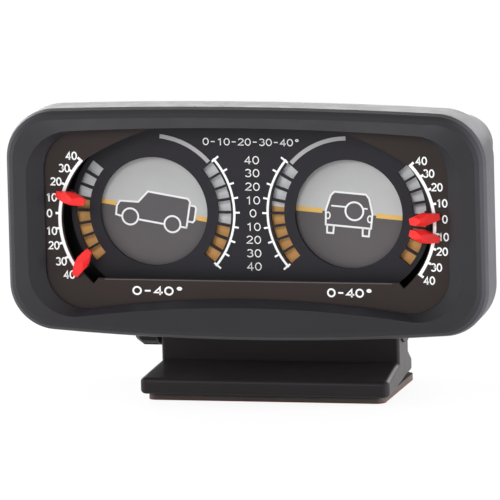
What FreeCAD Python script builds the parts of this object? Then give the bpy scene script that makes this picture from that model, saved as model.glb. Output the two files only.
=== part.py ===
"""Dashboard inclinometer: a pitch gauge and a roll gauge in a moulded pod that tilts on a glued foot.

Millimetres, +Z up, the dials face -Y.  The origin is the centre of the adhesive pad's underside.
Pieces in the pod are drawn in the dial frame: its origin lies midway between the two gauge
centres, on the front face of the inner dial panel.
"""
import FreeCAD, Part
import math
import os
import re

import Sketcher
from FreeCAD import Placement, Rotation, Vector

os.makedirs("parts", exist_ok=True)
doc = FreeCAD.newDocument("inclinometer")

# ---------------------------------------------------------------- driving dimensions
SIZES = [
    ("gauge_level", 57.0, "gauge centres above the pad's underside"),
    ("dial_forward", 32.0, "dial face ahead of the foot's middle"),
    ("gauge_spacing", 57.0, "between the two gauge centres"),
    ("housing_width", 140.0, "widest line of the bezel"),
    ("housing_top", 31.4, "bezel above the gauge centres"),
    ("housing_bottom", 35.9, "bezel below the gauge centres"),
    ("top_bow", 1.8, "rise of the bowed top edge"),
    ("bottom_bow", 3.2, "drop of the bowed bottom edge"),
    ("corner_top", 14.5, "upper corner radius"),
    ("corner_bottom", 13.5, "lower corner radius"),
    ("least_corner", 1.5, "smallest corner radius at the back of the pod"),
    ("lip_forward", 5.0, "widest line of the bezel ahead of the dial face"),
    ("ridge_forward", 10.0, "front ridge of the bezel ahead of the dial face"),
    ("opening_width", 118.0, "bezel opening"),
    ("opening_top", 25.8, "opening above the gauge centres"),
    ("opening_bottom", 24.0, "opening below the gauge centres, at the middle"),
    ("opening_top_bow", 2.4, "the opening's upper edge rises to the middle"),
    ("opening_bottom_bow", 5.6, "the opening's lower edge rises to the middle"),
    ("opening_corner", 11.5, "corner radius of the opening"),
    ("funnel_depth", 3.5, "ridge to opening edge"),
    ("funnel_side", 4.3, "width of the sloped funnel at the sides"),
    ("funnel_above", 0.3, "width of the sloped funnel above the dials"),
    ("funnel_below", 1.8, "width of the sloped funnel below the dials"),
    ("bezel_wall", 2.2, "side wall of the bezel"),
    ("joint_setback", 6.5, "bezel and rear shell meet behind the dial face"),
    ("ring_draft", 0.3, "the bezel narrows towards the joint"),
    ("joint_step", 0.4, "the rear shell stands in from the bezel"),
    ("shell_depth", 31.5, "joint to the back of the rear shell"),
    ("shell_taper", 12.0, "draft of the rear shell in degrees"),
    ("shell_wall", 2.2, "wall of the rear shell"),
    ("back_round", 7.0, "rounding of the back edges"),
    ("spigot_length", 2.0, "tongue of the rear shell inside the bezel"),
    ("spigot_wall", 1.4, "thickness of that tongue"),
    ("case_fit", 0.15, "gap round the tongue"),
    ("post_offset", 64.2, "housing screw posts from the middle"),
    ("post_rise", 15.0, "housing screw posts above and below their middle"),
    ("post_radius", 3.0, "bezel screw post"),
    ("tower_radius", 4.4, "rear screw tower"),
    ("head_pocket", 3.0, "radius of the pocket for a housing screw"),
    ("tower_floor", 5.0, "tower left under a housing screw head"),
    ("housing_screw_radius", 1.25, "shank of the housing and bracket screws"),
    ("small_screw_radius", 0.85, "shank of the panel and bridge screws"),
    ("scale_screw_below", 5.9, "lower scale panel screws below the opening"),
    ("scale_screw_beside", 4.5, "side scale panel screws beside the opening"),
    ("scale_screw_offset", 30.0, "lower scale panel screws from the middle"),
    ("scale_screw_bite", 2.6, "scale panel screws inside the bezel"),
    ("screw_clearance", 0.3, "screw through a clearance hole"),
    ("thread_clearance", 0.02, "screw in its own thread"),
    ("panel_thickness", 1.2, "dial panels"),
    ("panel_fit", 0.3, "scale panel inside the bezel"),
    ("scale_forward", 5.5, "scale panel's face ahead of the dial face"),
    ("scale_shift", 1.2, "outer scales' centre, outwards from the gauge centre"),
    ("scale_drop", 1.6, "outer scales' centre, down from the gauge centre"),
    ("slot_radius", 24.3, "scale panel's edge at the markers, about the scale's centre"),
    ("slot_up", 46.0, "that edge runs this many degrees up"),
    ("slot_down", 50.0, "that edge runs this many degrees down"),
    ("wing_reach", 5.0, "wings end this far past the gauge centres"),
    ("wing_bow", 1.0, "bow of the wings' upper edges"),
    ("ledge_drop", 18.6, "scale panel's ledge below the gauge centres"),
    ("window_radius", 15.7, "round disc window"),
    ("segment_inner", 18.8, "inner radius of the segment windows"),
    ("segment_outer", 22.7, "outer radius of the segment windows"),
    ("segment_reach", 40.0, "segment windows run this many degrees up and down"),
    ("segment_rib", 0.65, "rib between segment windows"),
    ("dial_radius", 24.1, "inner dial panel's round ends"),
    ("dial_top", 27.0, "inner dial panel above the gauge centres"),
    ("dial_bottom", 21.5, "inner dial panel below the gauge centres"),
    ("shelf_level", 19.6, "inner dial panel's wide upper part starts this high"),
    ("shelf_reach", 52.0, "that part ends this far from the middle"),
    ("dial_boss_high", 20.0, "middle boss above the gauge centres"),
    ("dial_boss_low", 13.0, "middle boss below the gauge centres"),
    ("dial_boss_side", 49.0, "side bosses from the middle"),
    ("dial_boss_shoulder", 23.2, "side bosses above the gauge centres"),
    ("dial_boss_radius", 2.3, "bosses behind the inner dial panel"),
    ("disc_radius", 23.7, "dial discs"),
    ("disc_setback", 2.0, "disc face behind the dial face"),
    ("disc_thickness", 1.0, "dial discs"),
    ("hub_radius", 3.0, "disc hub"),
    ("hub_length", 3.0, "disc hub"),
    ("spindle_radius", 1.0, "gauge spindles and pendulum axle"),
    ("running_gap", 0.04, "spindle in its bush"),
    ("push_gap", 0.01, "pushed on or pushed in"),
    ("chassis_setback", 7.0, "chassis behind the dial face"),
    ("chassis_thickness", 2.0, "chassis plate"),
    ("chassis_width", 116.0, "chassis plate"),
    ("chassis_top", 25.6, "chassis above the gauge centres"),
    ("chassis_bottom", 25.0, "chassis below the gauge centres"),
    ("chassis_corner", 5.0, "cut corners of the chassis plate"),
    ("pillar_offset", 55.0, "corner pillars from the middle"),
    ("pillar_top", 20.5, "upper corner pillars"),
    ("pillar_bottom", 22.5, "lower corner pillars"),
    ("pillar_radius", 3.0, "corner pillars"),
    ("pillar_screw_radius", 1.0, "shank of the chassis screws"),
    ("bush_radius", 3.0, "bearing bushes"),
    ("bush_flange", 4.0, "flange radius of the bushes"),
    ("flange_thickness", 0.8, "flange of the bushes"),
    ("sleeve_back", 13.0, "back end of the pitch spindle's bush"),
    ("bridge_setback", 24.0, "roll bridge plate behind the dial face"),
    ("bridge_thickness", 2.0, "roll bridge plate and pitch bridge walls"),
    ("tab_offset", 16.0, "pitch bridge screws from the gauge centre"),
    ("tab_level", 3.0, "pitch bridge screws above the gauge centre"),
    ("leg_offset", 14.5, "roll bridge legs from the gauge centre"),
    ("leg_level", 12.5, "roll bridge legs above the gauge centre"),
    ("tab_margin", 3.5, "tabs and leg plates past their screws"),
    ("cheek_drop", 4.5, "pitch bridge's cheeks below the axle"),
    ("roof_level", 10.0, "pitch bridge's roof above the axle"),
    ("apex_setback", 23.0, "pendulum axle behind the dial face"),
    ("gear_module", 0.6, "bevel gears at their outer end"),
    ("gear_teeth", 16, "teeth of both bevel gears"),
    ("gear_face", 2.0, "face width of the bevel gears"),
    ("gear_backlash", 0.15, "play between the bevel gears"),
    ("pendulum_length", 13.0, "axle to the middle of the bob"),
    ("bob_radius", 3.0, "pendulum bob"),
    ("bob_pin", 1.0, "pins at the ends of the bob"),
    ("eye_wall", 1.6, "pendulum arms round the axle"),
    ("bob_eye", 2.2, "pendulum arms round the bob's pins"),
    ("arm_gap", 15.6, "between the two pendulum arms"),
    ("arm_thickness", 1.4, "pendulum arms"),
    ("cheek_gap", 21.0, "between the pitch bridge's cheeks"),
    ("sector_inner", 10.0, "roll weight"),
    ("sector_outer", 19.0, "roll weight"),
    ("sector_spread", 35.0, "half angle of the roll weight in degrees"),
    ("roll_arm_setback", 11.0, "roll arm behind the dial face"),
    ("roll_arm_thickness", 2.0, "roll arm"),
    ("roll_arm_root", 2.6, "half width of the roll arm at the spindle"),
    ("roll_arm_foot", 6.2, "half width of the roll arm at the weight"),
    ("roll_weight_thickness", 5.0, "roll weight"),
    ("marker_inner", 18.1, "inner tip of a marker from its scale's centre"),
    ("marker_outer", 26.9, "outer tip of a marker from its scale's centre"),
    ("marker_width", 3.6, "marker"),
    ("marker_tip", 1.7, "blunt ends of a marker"),
    ("marker_crest", 1.0, "flat crest along a marker"),
    ("marker_shoulder", 1.6, "marker's sides below its crest"),
    ("marker_height", 3.2, "marker above the scale panel"),
    ("marker_inner_taper", 3.4, "marker's inner end narrows over this length"),
    ("marker_outer_taper", 4.2, "marker's outer end narrows over this length"),
    ("marker_droop", 1.7, "marker's ends below its crest"),
    ("marker_gap", 0.2, "marker and slider off the scale panel"),
    ("stem_gap", 0.5, "marker stem inside the scale panel's edge"),
    ("stem_width", 1.3, "marker stem across the slot"),
    ("stem_length", 2.4, "marker stem along the slot"),
    ("slider_outer", 27.4, "outer edge of a marker slider"),
    ("slider_width", 3.6, "marker slider along the slot"),
    ("slider_wall", 0.45, "slider inside the stem"),
    ("slider_thickness", 1.2, "marker slider"),
    ("slider_fit", 0.05, "stem in its slider"),
    ("pad_width", 69.5, "adhesive pad"),
    ("pad_depth", 40.0, "adhesive pad"),
    ("pad_thickness", 1.6, "adhesive pad"),
    ("liner_thickness", 0.3, "release liner"),
    ("foot_depth", 44.0, "foot, front to back"),
    ("foot_front_width", 73.6, "foot across its front lip"),
    ("foot_rear_width", 67.0, "foot across its back edge"),
    ("lip_height", 4.7, "foot's front lip"),
    ("foot_corner", 2.0, "rounded front corners of the foot's lip"),
    ("upright_corner", 1.0, "rounded corners of the foot's upright"),
    ("apron_rise", 1.8, "the apron rises towards the upright"),
    ("foot_floor", 3.0, "floor of the foot behind the upright"),
    ("hinge_setback", 8.0, "hinge axis behind the foot's middle"),
    ("hinge_level", 20.5, "hinge axis above the pad's underside"),
    ("ear_radius", 8.5, "round top of the foot's ears"),
    ("ear_inner_width", 59.0, "between the foot's ears"),
    ("boss_width", 70.8, "over the bosses on the foot's ears"),
    ("front_wall", 2.5, "front wall of the upright"),
    ("bolt_radius", 2.5, "hinge bolt"),
    ("bolt_head_flats", 8.0, "hinge bolt head across flats"),
    ("bolt_head_height", 3.0, "hinge bolt head"),
    ("bolt_running_gap", 0.05, "hinge bolt in its bores"),
    ("washer_thickness", 0.8, "friction washers"),
    ("washer_radius", 5.0, "friction washers"),
    ("side_gap", 0.05, "each side of a friction washer"),
    ("knuckle_radius", 5.0, "bracket knuckles"),
    ("knuckle_inner", 14.0, "bracket knuckles start this far from the middle"),
    ("bracket_width", 52.0, "hinge bracket plate"),
    ("bracket_thickness", 3.5, "hinge bracket plate"),
    ("bracket_screw_offset", 12.0, "bracket screws from the middle"),
    ("bracket_screw_high", 4.0, "upper bracket screws below the plate's top"),
    ("bracket_screw_low", 12.0, "lower bracket screws below the plate's top"),
    ("bracket_boss_radius", 3.2, "bosses for the bracket screws"),
    ("bracket_boss_depth", 5.0, "bosses for the bracket screws"),
    ("bracket_top", 29.5, "top of the bracket plate above the hinge axis"),
    ("knob_radius", 9.5, "hinge knob"),
    ("knob_thickness", 9.0, "hinge knob"),
    ("knob_flutes", 16, "grip flutes round the knob"),
    ("flute_radius", 0.9, "grip flutes"),
    ("insert_radius", 3.6, "knob insert"),
    ("insert_length", 6.5, "knob insert"),
]

sheet = doc.addObject("Spreadsheet::Sheet", "dims")
for row, (name, number, meaning) in enumerate(SIZES, 1):
    sheet.set(f"A{row}", meaning)
    sheet.set(f"B{row}", str(number))
    sheet.setAlias(f"B{row}", name)
doc.recompute()
NAMES = {name for name, _, _ in SIZES}


def mm(name):
    """The sheet's value of one named size."""
    return float(getattr(sheet, name))


def tied(formula):
    """A formula of named sizes, written as the expressions of other objects need it."""
    return re.sub(r"[a-z_]{3,}", lambda word: "dims." * (word.group() in NAMES) + word.group(), formula)


def value(formula):
    """What a formula of named sizes comes to."""
    return float(sheet.evalExpression(tied(formula)))


# ---------------------------------------------------------------- frames and book-keeping
DIAL = Placement(Vector(0, -mm("dial_forward"), mm("gauge_level")), Rotation())
HALF_SPACING = mm("gauge_spacing") / 2
PITCH_X = -HALF_SPACING
ROLL_X = HALF_SPACING
pieces = []


def solid_piece(label, shape, frame=DIAL):
    """A sub-part whose shape is worked out with Part's functions."""
    item = doc.addObject("Part::Feature", label)
    item.Label = label
    item.Shape = shape
    item.Placement = frame.multiply(shape.Placement)
    pieces.append(item)


def new_body(label, x="0", y="0", z="0"):
    """A sketched sub-part, placed by formulas of named sizes."""
    body = doc.addObject("PartDesign::Body", label)
    body.Label = label
    for way, formula in (("x", x), ("y", y), ("z", z)):
        body.setExpression(f".Placement.Base.{way}", tied(formula))
    pieces.append(body)
    return body


def dial_body(label, gauge="0"):
    """A sketched sub-part in the dial frame, or about the gauge centre at x = gauge."""
    return new_body(label, gauge, "-dial_forward", "gauge_level")


PITCH = "-gauge_spacing / 2"
ROLL = "gauge_spacing / 2"
PLANES = {"x": "YZ_Plane", "y": "XZ_Plane", "z": "XY_Plane"}


def origin_feature(body, role):
    """One of the body's own origin planes or axes."""
    return next(item for item in body.Origin.OriginFeatures if item.Role == role)


def sketch_on(body, axis, level):
    """A sketch across the given axis.  Across y its normal points to -Y."""
    sketch = body.newObject("Sketcher::SketchObject", "Profile")
    sketch.AttachmentSupport = [(origin_feature(body, PLANES[axis]), "")]
    sketch.MapMode = "FlatFace"
    offset = f"-({level})" if axis == "y" else level
    sketch.setExpression(".AttachmentOffset.Base.z", tied(offset))
    return sketch


def tie_point(sketch, geometry, corner, u, v):
    """Holds a point of the sketch at two formulas."""
    for kind, formula in (("DistanceX", u), ("DistanceY", v)):
        rule = Sketcher.Constraint(kind, -1, 1, geometry, corner, value(formula))
        index = sketch.addConstraint(rule)
        sketch.setExpression(f"Constraints[{index}]", tied(formula))


def circle(u, v, radius):
    """Draws a circle."""
    def draw(sketch):
        centre = Vector(value(u), value(v), 0)
        edge = sketch.addGeometry(Part.Circle(centre, Vector(0, 0, 1), value(radius)), False)
        tie_point(sketch, edge, 3, u, v)
        index = sketch.addConstraint(Sketcher.Constraint("Radius", edge, value(radius)))
        sketch.setExpression(f"Constraints[{index}]", tied(radius))
    return draw


def polygon(*corners):
    """Draws a closed outline through corners given as formulas."""
    def draw(sketch):
        points = [Vector(value(u), value(v), 0) for u, v in corners]
        first = sketch.GeometryCount
        count = len(points)
        for k in range(count):
            sketch.addGeometry(Part.LineSegment(points[k], points[(k + 1) % count]), False)
        for k in range(count):
            following = first + (k + 1) % count
            sketch.addConstraint(Sketcher.Constraint("Coincident", first + k, 2, following, 1))
        for k, (u, v) in enumerate(corners):
            tie_point(sketch, first + k, 1, u, v)
    return draw


def rectangle(u_low, u_high, v_low, v_high):
    """Draws a rectangle between formulas."""
    return polygon((u_low, v_low), (u_high, v_low), (u_high, v_high), (u_low, v_high))


def extrude(body, axis, low, high, *drawings, cut=False):
    """Pads or pockets drawings from low to high along an axis."""
    sketch = sketch_on(body, axis, high if axis == "y" else low)
    for draw in drawings:
        draw(sketch)
    feature = body.newObject("PartDesign::Pocket" if cut else "PartDesign::Pad", "Extrusion")
    feature.Profile = sketch
    feature.setExpression("Length", tied(f"({high}) - ({low})"))
    feature.Reversed = cut
    return feature


def pocket(body, axis, low, high, *drawings):
    """Cuts drawings away from low to high along an axis."""
    return extrude(body, axis, low, high, *drawings, cut=True)


def turned(body, axis, *corners):
    """Revolves a half profile about x (corners are x, radius) or y (corners are y, radius)."""
    sketch = sketch_on(body, "z", "0")
    if axis == "x":
        polygon(*corners)(sketch)
    else:
        polygon(*[(radius, along) for along, radius in corners])(sketch)
    feature = body.newObject("PartDesign::Revolution", "Turned")
    feature.Profile = sketch
    feature.ReferenceAxis = (sketch, ["H_Axis" if axis == "x" else "V_Axis"])
    feature.Angle = 360
    return feature


def rounded(body, radius, choose):
    """Fillets the edges of the body so far that choose accepts."""
    doc.recompute()
    base = body.Tip
    names = [f"Edge{k}" for k, edge in enumerate(base.Shape.Edges, 1) if choose(edge)]
    fillet = body.newObject("PartDesign::Fillet", "Rounding")
    fillet.Base = (base, names)
    fillet.setExpression("Radius", tied(radius))
    return fillet


def edge_ends(edge):
    """First and last point of an edge."""
    return edge.Vertexes[0].Point, edge.Vertexes[-1].Point


def runs_along(edge, way):
    """True for a straight edge along x, y or z."""
    start, end = edge_ends(edge)
    step = end - start
    if step.Length < 1e-6 or edge.Curve.TypeId != "Part::GeomLine":
        return False
    return abs(abs(getattr(step, way)) - step.Length) < 1e-6


# ---------------------------------------------------------------- plain solids in the dial frame
BACKWARD = Vector(0, 1, 0)


def rod(radius, x, z, front, back):
    """A cylinder along y."""
    return Part.makeCylinder(radius, back - front, Vector(x, front, z), BACKWARD)


def block(x_low, x_high, y_low, y_high, z_low, z_high):
    """A box between its limits."""
    corner = Vector(x_low, y_low, z_low)
    return Part.makeBox(x_high - x_low, y_high - y_low, z_high - z_low, corner)


def fused(shapes):
    """All shapes as one solid."""
    shapes = list(shapes)
    return shapes[0].multiFuse(shapes[1:]).removeSplitter()


def without(shape, tools):
    """The shape less every tool."""
    return shape.cut(fused(tools))


def screw(radius, x, z, seat, tip):
    """A flat-headed screw along y, its head behind the seat and its tip in front."""
    return fused([rod(radius * 2, x, z, seat, seat + radius * 1.2), rod(radius, x, z, tip, seat)])


def screw_set(label, radius, places, seat, tip, frame=DIAL):
    """Identical screws as one node of separate solids."""
    solid_piece(label, Part.makeCompound([screw(radius, x, z, seat, tip) for x, z in places]), frame)


# ---------------------------------------------------------------- housing outlines
def corner_arc(half_width, level, bow, corner):
    """Where a bowed edge, a round corner and a straight side meet, in the upper right quarter."""
    radius = (half_width ** 2 + bow ** 2) / (2 * bow)
    edge_centre = level - radius
    corner_x = half_width - corner
    drop = math.sqrt((radius - corner) ** 2 - corner_x ** 2)
    corner_z = edge_centre + math.copysign(drop, radius)
    reach = radius / (radius - corner)
    tangent = Vector(corner_x * reach, 0, edge_centre + (corner_z - edge_centre) * reach)
    centre = Vector(corner_x, 0, corner_z)
    outward = (tangent - centre) + Vector(corner, 0, 0)
    middle = centre + outward.normalize() * corner
    return tangent, middle, Vector(half_width, 0, corner_z)


def bowed_outline(half_width, top, bottom, top_bow, bottom_bow, top_corner, bottom_corner, depth):
    """Closed wire at y = depth: straight sides, round corners, bowed top and bottom."""
    upper = corner_arc(half_width, top, top_bow, top_corner)
    lower = corner_arc(half_width, bottom, bottom_bow, bottom_corner)
    points = []
    for mirror, (tangent, middle, side), level in ((1, upper, top), (-1, lower, bottom)):
        right = [Vector(0, 0, level), tangent, middle, side]
        points.append([Vector(p.x, depth, mirror * p.z) for p in right])

    def left(p):
        return Vector(-p.x, p.y, p.z)

    (crown, t_up, m_up, s_up), (keel, t_low, m_low, s_low) = points
    edges = [
        Part.Arc(left(t_up), crown, t_up),
        Part.Arc(t_up, m_up, s_up),
        Part.LineSegment(s_up, s_low),
        Part.Arc(s_low, m_low, t_low),
        Part.Arc(t_low, keel, left(t_low)),
        Part.Arc(left(t_low), left(m_low), left(s_low)),
        Part.LineSegment(left(s_low), left(s_up)),
        Part.Arc(left(s_up), left(m_up), left(t_up)),
    ]
    return Part.Wire([edge.toShape() for edge in edges])


def housing_outline(inset, depth):
    """The housing's outline, drawn in by inset all round."""
    return bowed_outline(
        mm("housing_width") / 2 - inset, mm("housing_top") - inset, mm("housing_bottom") - inset,
        mm("top_bow"), mm("bottom_bow"),
        max(mm("corner_top") - inset, mm("least_corner")), mm("corner_bottom") - inset / 2, depth)


def opening_outline(side, above, below, depth):
    """The bezel opening's outline, let out at the sides, above and below."""
    return bowed_outline(
        mm("opening_width") / 2 + side, mm("opening_top") + above, mm("opening_bottom") + below,
        mm("opening_top_bow"), -mm("opening_bottom_bow"),
        mm("opening_corner") + below, mm("opening_corner") + below, depth)


def ruled(*wires):
    """A solid with straight walls from each outline to the next."""
    return Part.makeLoft(list(wires), True, True)


JOINT = mm("joint_setback")
CAVITY_INSET = mm("ring_draft") + mm("bezel_wall")
SHELL_INSET = mm("ring_draft") + mm("joint_step")
TAPER = math.tan(math.radians(mm("shell_taper")))
SHELL_BACK = JOINT + mm("shell_depth")
SCALE_FACE = -mm("scale_forward")
SCALE_BACK = SCALE_FACE + mm("panel_thickness")
POST_MIDDLE = (mm("housing_top") - mm("housing_bottom")) / 2
POSTS = [
    (side * mm("post_offset"), POST_MIDDLE + rise * mm("post_rise"))
    for side in (-1, 1) for rise in (-1, 1)
]
POST_END = JOINT - mm("spigot_length")
SCREW_FLOOR = JOINT + mm("tower_floor")
SCALE_SCREW_DROP = mm("opening_bottom") + mm("scale_screw_below")
SCALE_SCREWS = [
    (side * x, z) for side in (-1, 1)
    for x, z in ((mm("opening_width") / 2 + mm("scale_screw_beside"), POST_MIDDLE),
                 (mm("scale_screw_offset"), -SCALE_SCREW_DROP))
]
SCALE_SCREW_TIP = SCALE_FACE - mm("scale_screw_bite")
DRILL_DEPTH = 0.4
LIP_ROLL = ((0.5, 2.0), (1.4, 3.2), (2.6, 3.9))


# ---------------------------------------------------------------- bezel and rear shell
def front_bezel():
    """Ring with a rolled lip, a sloped funnel to the dials and posts for the housing screws."""
    lip = -mm("lip_forward")
    ridge = -mm("ridge_forward")
    edge = ridge + mm("funnel_depth")
    ridge_edge = (mm("funnel_side"), mm("funnel_above"), mm("funnel_below"))
    rolled = [housing_outline(inset, lip - ahead) for inset, ahead in LIP_ROLL]
    skin = ruled(
        housing_outline(mm("ring_draft"), JOINT), housing_outline(0, lip), *rolled,
        opening_outline(*ridge_edge, ridge))
    funnel = ruled(
        opening_outline(*ridge_edge, ridge - 1), opening_outline(*ridge_edge, ridge),
        opening_outline(0, 0, 0, edge), opening_outline(0, 0, 0, SCALE_FACE + 1))
    cavity = ruled(housing_outline(CAVITY_INSET, SCALE_FACE), housing_outline(CAVITY_INSET, JOINT + 1))
    ring = skin.cut(funnel).cut(cavity)
    posts = [rod(mm("post_radius"), x, z, SCALE_FACE - 0.5, POST_END) for x, z in POSTS]
    thread = mm("housing_screw_radius") + mm("thread_clearance")
    small = mm("small_screw_radius") + mm("thread_clearance")
    holes = [rod(thread, x, z, SCALE_FACE, POST_END + 1) for x, z in POSTS]
    holes += [rod(small, x, z, SCALE_SCREW_TIP - DRILL_DEPTH, SCALE_FACE + 1) for x, z in SCALE_SCREWS]
    solid_piece("front_bezel", without(fused([ring] + posts), holes))


def tapered_cover(inset, back, rounding, steps):
    """Solid that narrows from the joint to its rounded back edge."""
    sections = [housing_outline(inset, JOINT)]
    start = back - rounding
    for step in range(steps + 1):
        angle = math.radians(90 * step / steps)
        drawn_in = inset + (start - JOINT) * TAPER + rounding * (1 - math.cos(angle))
        sections.append(housing_outline(drawn_in, start + rounding * math.sin(angle)))
    return ruled(*sections)


def rear_shell():
    """Tapered cover with a tongue into the bezel, screw towers and bosses for the hinge bracket."""
    wall = mm("shell_wall")
    inner_back = SHELL_BACK - wall
    skin = tapered_cover(SHELL_INSET, SHELL_BACK, mm("back_round"), 3)
    hollow = tapered_cover(SHELL_INSET + wall, inner_back, mm("back_round") - wall, 1)
    tongue_inset = CAVITY_INSET + mm("case_fit")
    tongue_block = ruled(housing_outline(tongue_inset, POST_END), housing_outline(tongue_inset, JOINT))
    inside_tongue = ruled(
        housing_outline(tongue_inset + mm("spigot_wall"), POST_END),
        housing_outline(tongue_inset + mm("spigot_wall"), JOINT))
    towers = [rod(mm("tower_radius"), x, z, JOINT, SHELL_BACK).common(skin) for x, z in POSTS]
    feet = [rod(mm("post_radius"), x, z, POST_END, JOINT).common(tongue_block) for x, z in POSTS]
    depth = mm("bracket_boss_depth")
    bosses = [rod(mm("bracket_boss_radius"), x, z, inner_back - depth, inner_back + 0.5)
              for x, z in BRACKET_SCREWS]
    body = fused([skin.cut(hollow), tongue_block.cut(inside_tongue)] + towers + feet + bosses)
    clear = mm("housing_screw_radius") + mm("screw_clearance")
    thread = mm("housing_screw_radius") + mm("thread_clearance")
    holes = [rod(mm("head_pocket"), x, z, SCREW_FLOOR, SHELL_BACK + 1) for x, z in POSTS]
    holes += [rod(clear, x, z, POST_END - 1, SCREW_FLOOR + 1) for x, z in POSTS]
    holes += [rod(thread, x, z, inner_back - depth - 1, SHELL_BACK + 1) for x, z in BRACKET_SCREWS]
    solid_piece("rear_shell", without(body, holes))


HINGE_Y = mm("hinge_setback") + mm("dial_forward")
HINGE_Z = mm("hinge_level") - mm("gauge_level")
BRACKET_SCREWS = [
    (side * mm("bracket_screw_offset"), HINGE_Z + mm("bracket_top") - drop)
    for side in (-1, 1) for drop in (mm("bracket_screw_high"), mm("bracket_screw_low"))
]


# ---------------------------------------------------------------- dial panels
def gauge_sides():
    """Both gauge centres, each with the direction of its outer side."""
    return ((PITCH_X, -1), (ROLL_X, 1))


def sector(radius, x, facing, up, down, front, back):
    """A slice of a disc, from up to down degrees above and below +X or -X."""
    slice_ = Part.makeCylinder(radius, back - front, Vector(), BACKWARD, up + down)
    middle = slice_.CenterOfMass
    turn = math.degrees(math.atan2(middle.z, middle.x))
    slice_.rotate(Vector(), Vector(0, -1, 0), (up - down) / 2 - turn)
    if facing < 0:
        slice_ = slice_.mirror(Vector(), Vector(1, 0, 0))
    slice_.translate(Vector(x, front, 0))
    return slice_


def pillar_places():
    """Centres of the four corner pillars."""
    offset = mm("pillar_offset")
    return [(side * offset, z) for side in (-1, 1) for z in (mm("pillar_top"), -mm("pillar_bottom"))]


def scale_centre(x, facing):
    """Centre of the outer scale and of the markers beside the gauge centre at x."""
    return x + facing * mm("scale_shift"), -mm("scale_drop")


def marker_slot(x, facing, front, back):
    """What the scale panel leaves open beside one gauge, up to the wing's bowed upper edge."""
    centre_x, centre_z = scale_centre(x, facing)
    slot = sector(mm("slot_radius"), centre_x, facing, mm("slot_up"), mm("slot_down"), front, back)
    slot.translate(Vector(0, 0, centre_z))
    up = math.radians(mm("slot_up"))
    start = Vector(centre_x + facing * mm("slot_radius") * math.cos(up), front,
                   centre_z + mm("slot_radius") * math.sin(up))
    end = Vector(x - facing * mm("wing_reach"), front, mm("opening_top"))
    along = (end - start).normalize()
    outward = Vector(facing * along.z, 0, -facing * along.x)
    middle = (start + end) * 0.5 + outward * mm("wing_bow")
    ledge = -mm("ledge_drop")
    corners = [end, Vector(end.x, front, ledge), Vector(centre_x, front, ledge),
               Vector(centre_x, front, centre_z), start]
    upper_edge = Part.Arc(start, middle, end).toShape()
    inside = Part.Wire([upper_edge] + [Part.makeLine(a, b) for a, b in zip(corners, corners[1:])])
    return [slot, Part.Face(inside).extrude(BACKWARD * (back - front))]


def outer_scale_panel():
    """U-shaped panel in front: two wings with the outer scales and a ledge below the dials."""
    front, back = SCALE_FACE, SCALE_BACK
    outline = CAVITY_INSET + mm("panel_fit")
    plate = ruled(housing_outline(outline, front), housing_outline(outline, back))
    ahead, behind = front - 1, back + 1
    ledge = -mm("ledge_drop")
    top = mm("housing_top")
    half = HALF_SPACING - mm("wing_reach")
    room = [block(-half, half, ahead, behind, ledge, top)]
    for x, facing in gauge_sides():
        room += marker_slot(x, facing, ahead, behind)
        centre_x, centre_z = scale_centre(x, facing)
        reach = math.sqrt(mm("slot_radius") ** 2 - (ledge - centre_z) ** 2)
        low, high = sorted((0, centre_x + facing * reach))
        room.append(block(low, high, ahead, behind, ledge, 0))
    plate = plate.cut(fused(room))
    boss_end = JOINT - mm("spigot_length")
    bosses = [rod(mm("pillar_radius"), x, z, back, boss_end) for x, z in pillar_places()]
    thread = mm("pillar_screw_radius") + mm("thread_clearance")
    clear = mm("small_screw_radius") + mm("screw_clearance")
    holes = [rod(thread, x, z, back - 0.5, boss_end + 1) for x, z in pillar_places()]
    holes += [rod(clear, x, z, ahead, behind) for x, z in SCALE_SCREWS]
    holes += [rod(mm("post_radius") + mm("panel_fit"), x, z, ahead, behind) for x, z in POSTS]
    solid_piece("outer_scale_panel", without(fused([plate] + bosses), holes))


DIAL_BOSS_FORMULAS = [
    ("0", "dial_boss_high"), ("0", "-dial_boss_low"),
    ("-dial_boss_side", "dial_boss_shoulder"), ("dial_boss_side", "dial_boss_shoulder"),
]
DIAL_BOSSES = [(value(x), value(z)) for x, z in DIAL_BOSS_FORMULAS]


def inner_dial_panel():
    """Recessed panel with a round window and two arcs of segment windows to each gauge."""
    back = mm("panel_thickness")
    low, top = -mm("dial_bottom"), mm("dial_top")
    reach = mm("shelf_reach")
    plate = [block(-HALF_SPACING, HALF_SPACING, 0, back, low, top)]
    plate += [rod(mm("dial_radius"), x, 0, 0, back) for x, _ in gauge_sides()]
    plate.append(block(-reach, reach, 0, back, mm("shelf_level"), top))
    panel = fused(plate).common(block(-2 * reach, 2 * reach, 0, back, low, top))
    holes = []
    for x, _ in gauge_sides():
        holes.append(rod(mm("window_radius"), x, 0, -1, back + 1))
        for facing in (-1, 1):
            reach = mm("segment_reach")
            arc = sector(mm("segment_outer"), x, facing, reach, reach, -1, back + 1)
            arc = arc.cut(rod(mm("segment_inner"), x, 0, -2, back + 2))
            half = mm("segment_rib") / 2
            for step in range(-3, 4):
                rib = block(-half, half, -2, back + 2, 0, mm("disc_radius"))
                rib.rotate(Vector(), BACKWARD, facing * 90 + step * 10)
                rib.translate(Vector(x, 0, 0))
                arc = arc.cut(rib)
            holes.append(arc)
    bosses = [rod(mm("dial_boss_radius"), x, z, back, mm("chassis_setback")) for x, z in DIAL_BOSSES]
    thread = mm("small_screw_radius") + mm("thread_clearance")
    holes += [rod(thread, x, z, back + 0.5, mm("chassis_setback") + 1) for x, z in DIAL_BOSSES]
    solid_piece("inner_dial_panel", without(fused([panel] + bosses), holes))


# ---------------------------------------------------------------- chassis, bushes and bridges
CHASSIS_BACK = "chassis_setback + chassis_thickness"
PILLARS = [
    (f"{side} pillar_offset", level)
    for side in ("-", "") for level in ("pillar_top", "-pillar_bottom")
]


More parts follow.
